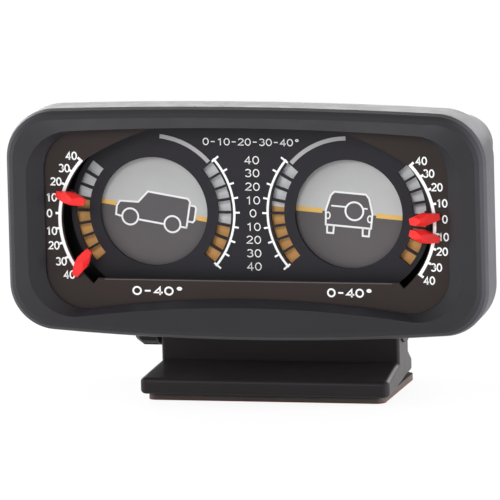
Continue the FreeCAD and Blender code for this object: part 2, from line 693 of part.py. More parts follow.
def chassis():
    """Plate behind the discs that carries both movements, with four pillars to the scale panel."""
    body = dial_body("chassis_plate")
    half, top, low = "chassis_width / 2", "chassis_top", "-chassis_bottom"
    cut = "chassis_corner"
    extrude(body, "y", "chassis_setback", CHASSIS_BACK, polygon(
        (f"-{half}", f"{low} + {cut}"), (f"-{half} + {cut}", low), (f"{half} - {cut}", low),
        (half, f"{low} + {cut}"), (half, f"{top} - {cut}"), (f"{half} - {cut}", top),
        (f"-{half} + {cut}", top), (f"-{half}", f"{top} - {cut}")))
    pillar_front = "joint_setback - spigot_length"
    for x, z in PILLARS:
        extrude(body, "y", pillar_front, "chassis_setback + 0.5", circle(x, z, "pillar_radius"))
    clear = "pillar_screw_radius + screw_clearance"
    for x, z in PILLARS:
        pocket(body, "y", f"{pillar_front} - 1", f"{CHASSIS_BACK} + 1", circle(x, z, clear))
    small_clear = "small_screw_radius + screw_clearance"
    small_thread = "small_screw_radius + thread_clearance"
    front, back = "chassis_setback - 1", f"{CHASSIS_BACK} + 1"
    for x, z in DIAL_BOSS_FORMULAS:
        pocket(body, "y", front, back, circle(x, z, small_clear))
    for gauge in (PITCH, ROLL):
        pocket(body, "y", front, back, circle(gauge, "0", "bush_radius + push_gap"))
    for x, z in PITCH_TABS:
        pocket(body, "y", front, back, circle(f"{PITCH} + {x}", z, small_thread))
    for x, z in ROLL_LEGS:
        pocket(body, "y", front, back, circle(f"{ROLL} + {x}", z, small_thread))


PITCH_TABS = [("(-tab_offset)", "tab_level"), ("tab_offset", "tab_level")]
ROLL_LEGS = [("(-leg_offset)", "leg_level"), ("leg_offset", "leg_level")]


def bush(label, gauge, front, back):
    """Flanged bearing bush along y, its flange at the back."""
    body = dial_body(label, gauge)
    bore = "spindle_radius + running_gap"
    turned(body, "y", (front, bore), (front, "bush_radius"), (back, "bush_radius"),
           (back, "bush_flange"), (f"{back} + flange_thickness", "bush_flange"),
           (f"{back} + flange_thickness", bore))


def sleeve_bush():
    """Long bush of the pitch spindle, flanged against the chassis."""
    body = dial_body("pitch_spindle_bush", PITCH)
    bore = "spindle_radius + running_gap"
    flange = f"{CHASSIS_BACK} + flange_thickness"
    turned(body, "y", ("chassis_setback", bore), ("chassis_setback", "bush_radius"),
           (CHASSIS_BACK, "bush_radius"), (CHASSIS_BACK, "bush_flange"), (flange, "bush_flange"),
           (flange, "bush_radius - 0.4"), ("sleeve_back", "bush_radius - 0.4"), ("sleeve_back", bore))


def roll_bridge():
    """Plate on two legs that holds the back end of the roll spindle."""
    body = dial_body("roll_bridge", ROLL)
    back = "bridge_setback + bridge_thickness"
    side, low, high = "leg_offset + tab_margin", "leg_level - tab_margin", "leg_level + tab_margin"
    extrude(body, "y", "bridge_setback", back, polygon(
        ("-bush_radius * 2", "-bush_radius * 2"), ("bush_radius * 2", "-bush_radius * 2"), (side, low),
        (side, high), (f"-({side})", high), (f"-({side})", low)))
    for x, z in ROLL_LEGS:
        extrude(body, "y", CHASSIS_BACK, "bridge_setback + 0.5", circle(x, z, "pillar_radius"))
        pocket(body, "y", f"{CHASSIS_BACK} - 1", f"{back} + 1",
               circle(x, z, "small_screw_radius + screw_clearance"))
    pocket(body, "y", "bridge_setback - 1", f"{back} + 1", circle("0", "0", "bush_radius + push_gap"))


def pitch_bridge():
    """Two cheeks and a roof that hold the pendulum axle, on tabs screwed to the chassis."""
    body = dial_body("pitch_bridge", PITCH)
    inner = "cheek_gap / 2"
    outer = f"{inner} + bridge_thickness"
    back = "apex_setback + 5"
    low, roof = "-cheek_drop", "roof_level + bridge_thickness"
    extrude(body, "y", CHASSIS_BACK, back, polygon(
        (f"-({outer})", low), (f"-({inner})", low), (f"-({inner})", "roof_level"),
        (inner, "roof_level"), (inner, low), (outer, low), (outer, roof), (f"-({outer})", roof)))
    tab_back = f"{CHASSIS_BACK} + bridge_thickness"
    for side, (x, z) in zip(("-", ""), PITCH_TABS):
        near, far = f"{side}({outer} - 0.5)", f"{side}(tab_offset + tab_margin)"
        extrude(body, "y", CHASSIS_BACK, tab_back, rectangle(
            near, far, "tab_level - tab_margin", "tab_level + tab_margin"))
        pocket(body, "y", f"{CHASSIS_BACK} - 1", f"{tab_back} + 1",
               circle(x, z, "small_screw_radius + screw_clearance"))
    pocket(body, "x", f"-({outer}) - 1", f"{outer} + 1",
           circle("apex_setback", "0", "bush_radius - 0.8 + push_gap"))


def axle_bush(label, side):
    """Bush of the pendulum axle in one cheek, its flange on the outside."""
    body = new_body(label, PITCH, "apex_setback - dial_forward", "gauge_level")
    bore = "spindle_radius + running_gap"
    inner = f"{side}(cheek_gap / 2)"
    outer = f"{side}(cheek_gap / 2 + bridge_thickness)"
    flange = f"{side}(cheek_gap / 2 + bridge_thickness + flange_thickness)"
    turned(body, "x", (inner, bore), (outer, bore), (flange, bore), (flange, "bush_flange - 0.8"),
           (outer, "bush_flange - 0.8"), (outer, "bush_radius - 0.8"), (inner, "bush_radius - 0.8"))


# ---------------------------------------------------------------- discs, spindles and weights
DISC_BACK = "disc_setback + disc_thickness"


def disc(label, gauge):
    """Printed disc with a blind hub behind it."""
    body = dial_body(label, gauge)
    hub_end = f"{DISC_BACK} + hub_length"
    bore = "spindle_radius + push_gap"
    turned(body, "y", ("disc_setback", "0"), ("disc_setback", "disc_radius"),
           (DISC_BACK, "disc_radius"), (DISC_BACK, "hub_radius"), (hub_end, "hub_radius"),
           (hub_end, bore), (DISC_BACK, bore), (DISC_BACK, "0"))


def spindle(label, gauge, back):
    """Steel spindle of a disc."""
    body = dial_body(label, gauge)
    extrude(body, "y", f"{DISC_BACK} + 0.02", back, circle("0", "0", "spindle_radius"))


def roll_weight_pieces():
    """Arm and brass sector below the roll spindle, and the collar that holds the spindle."""
    body = dial_body("roll_arm", ROLL)
    back = "roll_arm_setback + roll_arm_thickness"
    low = "-sector_outer + roll_arm_thickness"
    extrude(body, "y", "roll_arm_setback", back, circle("0", "0", "hub_radius + 0.4"))
    extrude(body, "y", "roll_arm_setback", back,
            polygon(("-roll_arm_root", "0"), ("-roll_arm_foot", low), ("roll_arm_foot", low),
                    ("roll_arm_root", "0")))
    pocket(body, "y", "roll_arm_setback - 1", f"{back} + 1",
           circle("0", "0", "spindle_radius + push_gap"))
    front = value(back)
    rear = front + mm("roll_weight_thickness")
    slice_ = sector(mm("sector_outer"), 0, 1, mm("sector_spread"), mm("sector_spread"), front, rear)
    slice_.rotate(Vector(), BACKWARD, 90)
    slice_ = slice_.cut(rod(mm("sector_inner"), 0, 0, front - 1, rear + 1))
    slice_.translate(Vector(ROLL_X, 0, 0))
    upright = [edge for edge in slice_.Edges if runs_along(edge, "y")]
    solid_piece("roll_weight", slice_.makeFillet(0.8, upright))
    collar = dial_body("roll_collar", ROLL)
    seat = "bridge_setback + bridge_thickness + flange_thickness"
    extrude(collar, "y", f"{seat} + 0.1", f"{seat} + 1.3", circle("0", "0", "hub_radius - 0.8"))
    pocket(collar, "y", seat, f"{seat} + 2", circle("0", "0", "spindle_radius + push_gap"))


def pendulum_pieces():
    """Axle, two arms and the bob of the pitch gauge's pendulum."""
    frame = (PITCH, "apex_setback - dial_forward", "gauge_level")
    axle = new_body("pendulum_axle", *frame)
    reach = "cheek_gap / 2 + bridge_thickness + flange_thickness + 0.4"
    extrude(axle, "x", f"-({reach})", reach, circle("0", "0", "spindle_radius"))
    inner = "arm_gap / 2"
    outer = "arm_gap / 2 + arm_thickness"
    for label, low, high in (("pendulum_arm_left", f"-({outer})", f"-({inner})"),
                             ("pendulum_arm_right", inner, outer)):
        arm = new_body(label, *frame)
        extrude(arm, "x", low, high, circle("0", "0", "spindle_radius + eye_wall"))
        extrude(arm, "x", low, high, polygon(
            ("-eye_wall", "0"), ("-bob_eye", "-pendulum_length"), ("bob_eye", "-pendulum_length"),
            ("eye_wall", "0")))
        extrude(arm, "x", low, high, circle("0", "-pendulum_length", "bob_eye"))
        pocket(arm, "x", f"{low} - 1", f"{high} + 1",
               circle("0", "0", "spindle_radius + push_gap"),
               circle("0", "-pendulum_length", "bob_pin + push_gap"))
    bob = new_body("pendulum_bob", frame[0], frame[1], "gauge_level - pendulum_length")
    turned(bob, "x", (f"-({outer})", "0"), (f"-({outer})", "bob_pin"), (f"-({inner})", "bob_pin"),
           (f"-({inner})", "bob_radius"), (inner, "bob_radius"), (inner, "bob_pin"),
           (outer, "bob_pin"), (outer, "0"))


# ---------------------------------------------------------------- bevel gears
PRESSURE_ANGLE = math.radians(20)
HALF_RIGHT = math.radians(45)
APEX = Vector(PITCH_X, mm("apex_setback"), 0)


def involute(angle):
    """Involute function of an angle in radians."""
    return math.tan(angle) - angle


def tooth_rungs():
    """Tooth profile at the outer end, from root to tip: distance along the back cone from the
    pitch line, and half the tooth's thickness there."""
    module = mm("gear_module")
    slant = mm("gear_teeth") * module / 2 / math.cos(HALF_RIGHT)
    base = slant * math.cos(PRESSURE_ANGLE)
    quarter = math.pi * module / 4 - mm("gear_backlash") / 4
    rungs = []
    for height in (-1.25 * module, base - slant, 0, 0.6 * module, module):
        at = slant + height
        angle = math.acos(min(1, base / at))
        half = quarter / slant + involute(PRESSURE_ANGLE) - involute(angle)
        rungs.append((height, half * at))
    return rungs


def quad(a, b, c, d):
    """A flat face through four corners."""
    return Part.Face(Part.makePolygon([a, b, c, d, a]))


def bevel_tooth(turn):
    """One straight bevel tooth.  The apex is the origin, the gear's axis runs to +X."""
    pitch_radius = mm("gear_teeth") * mm("gear_module") / 2
    shrink = 1 - mm("gear_face") / (pitch_radius / math.sin(HALF_RIGHT))
    loops = []
    for scale in (1, shrink):
        left, right = [], []
        for height, half in tooth_rungs():
            radius = pitch_radius + height * math.cos(HALF_RIGHT)
            along = pitch_radius - height * math.sin(HALF_RIGHT)
            swing = half / radius
            for points, angle in ((left, turn - swing), (right, turn + swing)):
                rim = Vector(along, radius * math.cos(angle), radius * math.sin(angle))
                points.append(rim * scale)
        loops.append((left, right))
    (outer_left, outer_right), (inner_left, inner_right) = loops
    faces = []
    last = len(outer_left) - 1
    for k in range(last):
        faces.append(quad(outer_left[k], outer_left[k + 1], outer_right[k + 1], outer_right[k]))
        faces.append(quad(inner_left[k], inner_left[k + 1], inner_right[k + 1], inner_right[k]))
        faces.append(quad(outer_left[k], outer_left[k + 1], inner_left[k + 1], inner_left[k]))
        faces.append(quad(outer_right[k], outer_right[k + 1], inner_right[k + 1], inner_right[k]))
    for k in (0, last):
        faces.append(quad(outer_left[k], outer_right[k], inner_right[k], inner_left[k]))
    tooth = Part.Solid(Part.makeShell(faces))
    if tooth.Volume < 0:
        tooth.reverse()
    return tooth


def bevel_gear(label, first_turn, hub_end, rotation):
    """A mitre gear about +X seen from its apex, turned into place by rotation."""
    module = mm("gear_module")
    pitch_radius = mm("gear_teeth") * module / 2
    count = int(mm("gear_teeth"))
    root = 1.25 * module - 0.12
    root_radius = pitch_radius - root * math.cos(HALF_RIGHT)
    root_along = pitch_radius + root * math.sin(HALF_RIGHT)
    shrink = 1 - mm("gear_face") / (pitch_radius / math.sin(HALF_RIGHT))
    hub = mm("hub_radius")
    profile = [
        (root_along * shrink, 0), (root_along * shrink, root_radius * shrink),
        (root_along, root_radius), (root_along + 0.5, hub), (hub_end, hub), (hub_end, 0),
    ]
    points = [Vector(along, radius, 0) for along, radius in profile]
    blank = Part.Face(Part.makePolygon(points + points[:1])).revolve(Vector(), Vector(1, 0, 0), 360)
    teeth = [bevel_tooth(2 * math.pi * k / count + first_turn) for k in range(count)]
    gear = fused([blank] + teeth)
    bore = mm("spindle_radius") + mm("push_gap")
    gear = gear.cut(Part.makeCylinder(bore, 4 * pitch_radius, Vector(), Vector(1, 0, 0)))
    gear.Placement = Placement(APEX, rotation)
    solid_piece(label, gear)


def gears():
    """The gear on the pendulum axle and the one on the pitch spindle, in mesh."""
    half_pitch = math.pi / mm("gear_teeth")
    hub_end = mm("arm_gap") / 2 - 0.1
    bevel_gear("pendulum_gear", half_pitch, hub_end, Rotation())
    spindle_end = mm("apex_setback") - mm("sleeve_back") - 0.2
    bevel_gear("pitch_spindle_gear", 0, spindle_end, Rotation(Vector(0, 0, 1), -90))


# ---------------------------------------------------------------- markers
def marker(side_name, x, facing, place, angle, lean):
    """A red pointer that rides along the scale panel's edge and the slider that holds it from
    behind.  Its angle is in degrees above the level line on the gauge's outer side, and the
    pointer's outer end leans up by lean on its stem."""
    inner, outer = mm("marker_inner"), mm("marker_outer")
    half, tip = mm("marker_width") / 2, mm("marker_tip") / 2
    front = SCALE_FACE - mm("marker_gap") - mm("marker_height")
    base = SCALE_FACE - mm("marker_gap")
    belly_in, belly_out = inner + mm("marker_inner_taper"), outer - mm("marker_outer_taper")
    plan = [
        (inner, -tip), (belly_in, -half), (belly_out, -half), (outer, -tip),
        (outer, tip), (belly_out, half), (belly_in, half), (inner, tip),
    ]
    corners = [Vector(u, front, v) for u, v in plan]
    boat = Part.Face(Part.makePolygon(corners + corners[:1])).extrude(BACKWARD * (base - front))
    low = front + mm("marker_droop")
    profile = [
        (inner, base), (inner, low), (belly_in, front), (belly_out - 1, front), (outer, low + tip),
        (outer, base),
    ]
    corners = [Vector(u, depth, -half) for u, depth in profile]
    side = Part.Face(Part.makePolygon(corners + corners[:1])).extrude(Vector(0, 0, 2 * half))
    shoulder = front + mm("marker_shoulder")
    crest = mm("marker_crest") / 2
    section = [
        (-half, base), (-half, shoulder), (-crest, front), (crest, front), (half, shoulder), (half, base),
    ]
    corners = [Vector(inner, depth, v) for v, depth in section]
    roof = Part.Face(Part.makePolygon(corners + corners[:1])).extrude(Vector(outer - inner, 0, 0))
    stem_out = mm("slot_radius") - mm("stem_gap")
    stem_in = stem_out - mm("stem_width")
    slider_front = SCALE_BACK + mm("marker_gap")
    slider_back = slider_front + mm("slider_thickness")
    along = mm("stem_length") / 2
    stem = block(stem_in, stem_out, base - 0.5, slider_back, -along, along)
    pointer = boat.common(side).common(roof)
    pointer.rotate(Vector((stem_in + stem_out) / 2, 0, 0), BACKWARD, -lean)
    fit = mm("slider_fit")
    socket = block(stem_in - fit, stem_out + fit, slider_front - 1, slider_back + 1,
                   -along - fit, along + fit)
    reach = mm("slider_width") / 2
    slider = block(stem_in - mm("slider_wall"), mm("slider_outer"), slider_front, slider_back,
                   -reach, reach)
    turn = angle if facing < 0 else -angle
    for label, shape in ((f"marker_{side_name}_{place}", fused([pointer, stem])),
                         (f"slider_{side_name}_{place}", slider.cut(socket))):
        if facing < 0:
            shape = shape.mirror(Vector(), Vector(1, 0, 0))
        shape.rotate(Vector(), BACKWARD, turn)
        centre_x, centre_z = scale_centre(x, facing)
        shape.translate(Vector(centre_x, 0, centre_z))
        solid_piece(label, shape)


MARKERS = [  # gauge, its centre, its outer side, place, angle above level and lean
    ("pitch", PITCH_X, -1, "upper", 16.0, -1.0), ("pitch", PITCH_X, -1, "lower", -34.5, -24.0),
    ("roll", ROLL_X, 1, "upper", 4.5, 5.0), ("roll", ROLL_X, 1, "lower", -8.5, -5.0),
]


# ---------------------------------------------------------------- foot, hinge and knob
def foot_pieces():
    """Foot with a rolled front lip, a sloped apron and a hollow upright with two ears."""
    body = new_body("foot")
    wide = "foot_front_width / 2"
    base = "liner_thickness + pad_thickness"
    half = "foot_depth / 2"
    lip_top = f"{base} + lip_height"
    upright_front = "hinge_setback - ear_radius"
    upright_back = "hinge_setback + ear_radius"
    apron_top = f"{lip_top} + apron_rise"
    extrude(body, "x", f"-{wide}", wide, polygon(
        (f"-{half}", base), (half, base), (half, f"{lip_top} - 1.2"), (upright_back, apron_top),
        (upright_front, apron_top), (f"-{half}", lip_top)))
    extrude(body, "x", f"-{wide}", wide, rectangle(
        upright_front, upright_back, f"{base} + 1", "hinge_level"))
    extrude(body, "x", f"-{wide}", wide, circle("hinge_setback", "hinge_level", "ear_radius"))
    far = "foot_front_width"
    for side in ("-", ""):
        pocket(body, "z", "-1", "hinge_level + 2 * ear_radius", polygon(
            (f"{side}{wide}", f"-{half} - 1"), (f"{side}foot_rear_width / 2", half),
            (f"{side}foot_rear_width / 2", f"{half} + 1"), (f"{side}{far}", f"{half} + 1"),
            (f"{side}{far}", f"-{half} - 1")))
    inner = "ear_inner_width / 2"
    behind_wall = f"{upright_front} + front_wall"
    top = "hinge_level + ear_radius + 1"
    pocket(body, "x", f"-{inner}", inner, rectangle(
        behind_wall, f"{half} + 1", f"{base} + foot_floor", top))
    pocket(body, "x", f"-{inner}", inner, rectangle(
        f"{upright_front} - 1", f"{behind_wall} + 1", "hinge_level", top))
    boss = "boss_width / 2"
    for low, high in ((f"-({boss})", f"-{inner} - 1"), (f"{inner} + 1", boss)):
        extrude(body, "x", low, high, circle("hinge_setback", "hinge_level", "ear_radius - 1"))
    pocket(body, "x", f"-({boss}) - 1", f"{boss} + 1",
           circle("hinge_setback", "hinge_level", "bolt_radius + bolt_running_gap"))
    pocket(body, "x", f"{boss} - bolt_head_height - 0.2", f"{boss} + 1",
           hexagon("hinge_setback", "hinge_level", "bolt_head_flats / 2 + bolt_running_gap"))
    front = -value(half)

    def lip_edge(edge):
        ends = edge_ends(edge)
        return runs_along(edge, "x") and all(p.y < front + 1e-3 and p.z > value(base) + 1 for p in ends)

    def lip_underside(edge):
        ends = edge_ends(edge)
        return runs_along(edge, "x") and all(p.y < front + 1e-3 and p.z < value(base) + 1 for p in ends)

    def lip_corner(edge):
        return runs_along(edge, "z") and all(p.y < front + 1e-3 for p in edge_ends(edge))

    def upright_corner(edge):
        ends = edge_ends(edge)
        return runs_along(edge, "z") and all(
            abs(p.y - value(upright_front)) < 1e-3 and abs(p.x) > value(inner) + 0.5 for p in ends)

    rounded(body, "foot_corner", lip_corner)
    rounded(body, "lip_height * 0.3", lip_edge)
    rounded(body, "lip_height * 0.25", lip_underside)
    rounded(body, "upright_corner", upright_corner)
    pad = new_body("adhesive_pad")
    liner = new_body("pad_liner")
    outline = rectangle("-pad_width / 2", "pad_width / 2", "-pad_depth / 2", "pad_depth / 2")
    extrude(pad, "z", "liner_thickness", base, outline)
    extrude(liner, "z", "0", "liner_thickness", outline)
    for item in (pad, liner):
        rounded(item, "bolt_radius", lambda edge: runs_along(edge, "z"))


def hexagon(u, v, apothem):
    """Draws a hexagon with two corners level with its centre."""
    side = f"({apothem}) / 0.8660254"
    return polygon(
        (f"{u} + {side}", v), (f"{u} + {side} / 2", f"{v} + {apothem}"),
        (f"{u} - {side} / 2", f"{v} + {apothem}"), (f"{u} - {side}", v),
        (f"{u} - {side} / 2", f"{v} - ({apothem})"), (f"{u} + {side} / 2", f"{v} - ({apothem})"))


KNOB_DOME = ((3.0, 0.0), (1.1, 1.3), (0.2, 3.4), (0.0, 6.0))


def hinge_pieces():
    """Bolt, washers, bracket on the pod, and the clamping knob with its threaded insert."""
    frame = ("0", "hinge_setback", "hinge_level")
    boss = "boss_width / 2"
    bolt = new_body("hinge_bolt", *frame)
    head = f"{boss} - bolt_head_height"
    knob_face = f"-({boss}) - 0.1"
    insert_end = f"{knob_face} - insert_length"
    extrude(bolt, "x", insert_end, head, circle("0", "0", "bolt_radius"))
    extrude(bolt, "x", f"{head} - 0.1", boss, hexagon("0", "0", "bolt_head_flats / 2"))
    inner = "ear_inner_width / 2"
    for label, side in (("friction_washer_left", "-"), ("friction_washer_right", "")):
        washer = new_body(label, *frame)
        near = f"{side}({inner} - side_gap - washer_thickness)"
        far = f"{side}({inner} - side_gap)"
        low, high = (far, near) if side else (near, far)
        extrude(washer, "x", low, high, circle("0", "0", "washer_radius"))
        pocket(washer, "x", f"{low} - 1", f"{high} + 1",
               circle("0", "0", "bolt_radius + bolt_running_gap"))
    bracket = new_body("hinge_bracket", *frame)
    knuckle_end = f"({inner} - 2 * side_gap - washer_thickness)"
    shell_back = "joint_setback + shell_depth - dial_forward - hinge_setback"
    plate_back = f"{shell_back} + bracket_thickness"
    half = "bracket_width / 2"
    extrude(bracket, "y", shell_back, plate_back, polygon(
        (f"-{half}", "0"), ("-knuckle_inner", "0"), ("-knuckle_inner + 3", "7"),
        ("knuckle_inner - 3", "7"), ("knuckle_inner", "0"), (half, "0"), (half, "bracket_top - 3"),
        (f"{half} - 3", "bracket_top"), (f"-{half} + 3", "bracket_top"), (f"-{half}", "bracket_top - 3")))
    for low, high in ((f"-{knuckle_end}", "-knuckle_inner"), ("knuckle_inner", knuckle_end)):
        extrude(bracket, "x", low, high, circle("0", "0", "knuckle_radius"))
    pocket(bracket, "x", f"-{knuckle_end} - 1", f"{knuckle_end} + 1",
           circle("0", "0", "bolt_radius + bolt_running_gap"))
    clear = "housing_screw_radius + screw_clearance"
    for side in ("-", ""):
        for drop in ("bracket_screw_high", "bracket_screw_low"):
            pocket(bracket, "y", f"{shell_back} - 1", f"{plate_back} + 1",
                   circle(f"{side}bracket_screw_offset", f"bracket_top - {drop}", clear))
    knob = new_body("hinge_knob", *frame)
    outer = f"{knob_face} - knob_thickness"
    rim = "knob_radius"
    dome = [(f"{outer} + {along}", f"{rim} - {inward}") for along, inward in KNOB_DOME]
    turned(knob, "x", (knob_face, "insert_radius + push_gap"), (knob_face, f"{rim} - 1.2"),
           (f"{knob_face} - 1", rim), *dome, (outer, "0"),
           (f"{insert_end} - 0.1", "0"), (f"{insert_end} - 0.1", "insert_radius + push_gap"))
    flute = pocket(knob, "x", f"{outer} - 1", f"{knob_face} - 1.6",
                   circle("knob_radius + flute_radius * 0.45", "0", "flute_radius"))
    doc.recompute()
    grip = knob.newObject("PartDesign::PolarPattern", "Flutes")
    grip.Originals = [flute]
    grip.Axis = (origin_feature(knob, "X_Axis"), [""])
    grip.Angle = 360
    grip.setExpression("Occurrences", tied("knob_flutes"))
    knob.Tip = grip
    insert = new_body("knob_insert", *frame)
    extrude(insert, "x", insert_end, knob_face, circle("0", "0", "insert_radius"))
    pocket(insert, "x", f"{insert_end} - 1", f"{knob_face} + 1",
           circle("0", "0", "bolt_radius + bolt_running_gap"))


# ---------------------------------------------------------------- the whole object
foot_pieces()
hinge_pieces()
front_bezel()
rear_shell()
outer_scale_panel()
inner_dial_panel()
chassis()
sleeve_bush()
bush("roll_front_bush", ROLL, "chassis_setback", CHASSIS_BACK)
bush("roll_rear_bush", ROLL, "bridge_setback", "bridge_setback + bridge_thickness")
roll_bridge()
pitch_bridge()
axle_bush("axle_bush_left", "-")
axle_bush("axle_bush_right", "")
disc("pitch_disc", PITCH)
disc("roll_disc", ROLL)
spindle("pitch_spindle", PITCH, "apex_setback - spindle_radius - 1.2")
spindle("roll_spindle", ROLL, "bridge_setback + bridge_thickness + 2.6")
roll_weight_pieces()
pendulum_pieces()
gears()
for settings in MARKERS:
    marker(*settings)

chassis_seat = mm("chassis_setback") + mm("chassis_thickness")
screw_set("housing_screws", mm("housing_screw_radius"), POSTS, SCREW_FLOOR, SCALE_FACE + 1.5)
screw_set("scale_panel_screws", mm("small_screw_radius"), SCALE_SCREWS, SCALE_BACK, SCALE_SCREW_TIP)
screw_set("chassis_screws", mm("pillar_screw_radius"), pillar_places(), chassis_seat, SCALE_BACK + 1.2)
screw_set("dial_panel_screws", mm("small_screw_radius"), DIAL_BOSSES, chassis_seat,
          mm("panel_thickness") + 1.4)
screw_set("pitch_bridge_screws", mm("small_screw_radius"),
          [(PITCH_X + value(x), value(z)) for x, z in PITCH_TABS],
          chassis_seat + mm("bridge_thickness"), mm("chassis_setback") + 0.9)
screw_set("roll_bridge_screws", mm("small_screw_radius"),
          [(ROLL_X + value(x), value(z)) for x, z in ROLL_LEGS],
          mm("bridge_setback") + mm("bridge_thickness"), mm("chassis_setback") + 0.9)
screw_set("bracket_screws", mm("housing_screw_radius"), BRACKET_SCREWS,
          SHELL_BACK + mm("bracket_thickness"),
          SHELL_BACK - mm("shell_wall") - mm("bracket_boss_depth") + 1)

# ---------------------------------------------------------------- checks and export
doc.recompute()
for item in doc.Objects:
    if any(state in ("Invalid", "Error") for state in item.State):
        raise RuntimeError(f"{item.Label} ({item.Name}) failed: {item.State}")
for item in pieces:
    if item.Shape.isNull() or not item.Shape.isValid() or item.Shape.Volume <= 0:
        raise RuntimeError(f"{item.Label} has no valid solid")
for item in pieces:
    item.Shape.exportStep(os.path.join("parts", f"{item.Label}.step"))
print(len(pieces), "pieces written")
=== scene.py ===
import math

import bpy
from mathutils import Matrix, Vector


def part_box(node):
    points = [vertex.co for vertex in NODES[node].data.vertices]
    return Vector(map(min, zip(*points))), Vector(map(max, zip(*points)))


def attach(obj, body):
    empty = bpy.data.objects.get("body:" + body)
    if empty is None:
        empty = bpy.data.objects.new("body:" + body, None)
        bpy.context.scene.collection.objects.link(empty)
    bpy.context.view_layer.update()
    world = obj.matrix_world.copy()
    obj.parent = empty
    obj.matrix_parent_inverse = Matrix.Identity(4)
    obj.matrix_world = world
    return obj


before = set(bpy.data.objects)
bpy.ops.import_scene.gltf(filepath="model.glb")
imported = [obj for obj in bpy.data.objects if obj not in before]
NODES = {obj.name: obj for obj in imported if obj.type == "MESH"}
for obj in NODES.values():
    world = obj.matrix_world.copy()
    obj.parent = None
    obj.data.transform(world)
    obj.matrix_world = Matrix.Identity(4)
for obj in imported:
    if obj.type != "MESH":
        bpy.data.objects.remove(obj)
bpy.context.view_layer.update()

MM = 0.001

# ---------------------------------------------------------------- the dial frame, in millimetres
PITCH_DISC_LOW, PITCH_DISC_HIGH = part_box("pitch_disc")
ROLL_DISC_LOW, ROLL_DISC_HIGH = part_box("roll_disc")
LEVEL = (PITCH_DISC_LOW.z + PITCH_DISC_HIGH.z) / 2 / MM
GAUGE_X = (ROLL_DISC_LOW.x + ROLL_DISC_HIGH.x) / 2 / MM
DISC_RADIUS = (ROLL_DISC_HIGH.x - ROLL_DISC_LOW.x) / 2 / MM
DISC_FACE = PITCH_DISC_LOW.y / MM
DIAL_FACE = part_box("inner_dial_panel")[0].y / MM
SCALE_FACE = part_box("outer_scale_panel")[0].y / MM

PRINT = 0.03                # prints stand this far off their panel
LAYER = 0.012               # and this far off the print below them
WINDOW_RADIUS = 15.7        # round window before each disc
RING_INNER = 17.2           # printed ring seen through the segment windows
PITCH_REST = -9.5           # degrees the discs hang at rest in the photograph
ROLL_REST = -4.5


# ---------------------------------------------------------------- small tools
def link(obj):
    """Puts a new object into the scene."""
    bpy.context.scene.collection.objects.link(obj)
    return obj


def mesh_object(name, points, faces, material):
    """A mesh from points in millimetres."""
    data = bpy.data.meshes.new(name)
    data.from_pydata([tuple(c * MM for c in p) for p in points], [], faces)
    data.materials.append(material)
    data.update()
    return link(bpy.data.objects.new(name, data))


def joined(name, objects):
    """Several objects as one mesh."""
    if len(objects) > 1:
        bpy.ops.object.select_all(action="DESELECT")
        for obj in objects:
            obj.select_set(True)
        bpy.context.view_layer.objects.active = objects[0]
        bpy.ops.object.join()
    objects[0].name = name
    return objects[0]


def polar(centre, radius, degrees):
    """A point in the dial plane, degrees counted from +x towards +z."""
    angle = math.radians(degrees)
    return centre[0] + radius * math.cos(angle), centre[1] + radius * math.sin(angle)


def oval(centre, across, up, start, end, steps):
    """Points along part of an ellipse."""
    turns = [math.radians(start + (end - start) * k / steps) for k in range(steps + 1)]
    return [(centre[0] + across * math.cos(t), centre[1] + up * math.sin(t)) for t in turns]


def closed_oval(centre, across, up, count=30):
    """Points all round an ellipse, for a closed stroke or a filled shape."""
    return oval(centre, across, up, 0, 360 - 360 / count, count - 1)


# ---------------------------------------------------------------- shader tools
MIX_FIRST, MIX_SECOND, MIX_RESULT = 6, 7, 2     # the colour sockets of a Mix node


def node_of_type(tree, kind):
    return next(node for node in tree.nodes if node.type == kind)


def new_material(name):
    """A material, its node tree and its Principled shader."""
    material = bpy.data.materials.new(name)
    material.use_nodes = True
    tree = material.node_tree
    return material, tree, node_of_type(tree, "BSDF_PRINCIPLED")


def noise(tree, scale, detail=3.0, roughness=0.55):
    """Noise in the object's own coordinates, its scale per metre."""
    place = tree.nodes.new("ShaderNodeTexCoord")
    texture = tree.nodes.new("ShaderNodeTexNoise")
    texture.inputs["Scale"].default_value = scale
    texture.inputs["Detail"].default_value = detail
    texture.inputs["Roughness"].default_value = roughness
    tree.links.new(place.outputs["Object"], texture.inputs["Vector"])
    return texture.outputs["Fac"]


def height(tree, low, high):
    """0 to 1 between two heights in millimetres, in the object's own coordinates."""
    place = tree.nodes.new("ShaderNodeTexCoord")
    split = tree.nodes.new("ShaderNodeSeparateXYZ")
    node = tree.nodes.new("ShaderNodeMapRange")
    node.inputs["From Min"].default_value = low * MM
    node.inputs["From Max"].default_value = high * MM
    tree.links.new(place.outputs["Object"], split.inputs["Vector"])
    tree.links.new(split.outputs["Z"], node.inputs["Value"])
    return node.outputs["Result"]


def spread(tree, value, low, high):
    """Maps a 0..1 value to low..high."""
    node = tree.nodes.new("ShaderNodeMapRange")
    node.inputs["To Min"].default_value = low
    node.inputs["To Max"].default_value = high
    tree.links.new(value, node.inputs["Value"])
    return node.outputs["Result"]


def mixed(tree, factor, first, second):
    """Colour between two colours."""
    node = tree.nodes.new("ShaderNodeMix")
    node.data_type = "RGBA"
    tree.links.new(factor, node.inputs["Factor"])
    node.inputs[MIX_FIRST].default_value = (*first, 1)
    node.inputs[MIX_SECOND].default_value = (*second, 1)
    return node.outputs[MIX_RESULT]


def multiplied(tree, first, second):
    """Product of two colour outputs."""
    node = tree.nodes.new("ShaderNodeMix")
    node.data_type = "RGBA"
    node.blend_type = "MULTIPLY"
    node.inputs["Factor"].default_value = 1.0
    tree.links.new(first, node.inputs[MIX_FIRST])
    tree.links.new(second, node.inputs[MIX_SECOND])
    return node.outputs[MIX_RESULT]


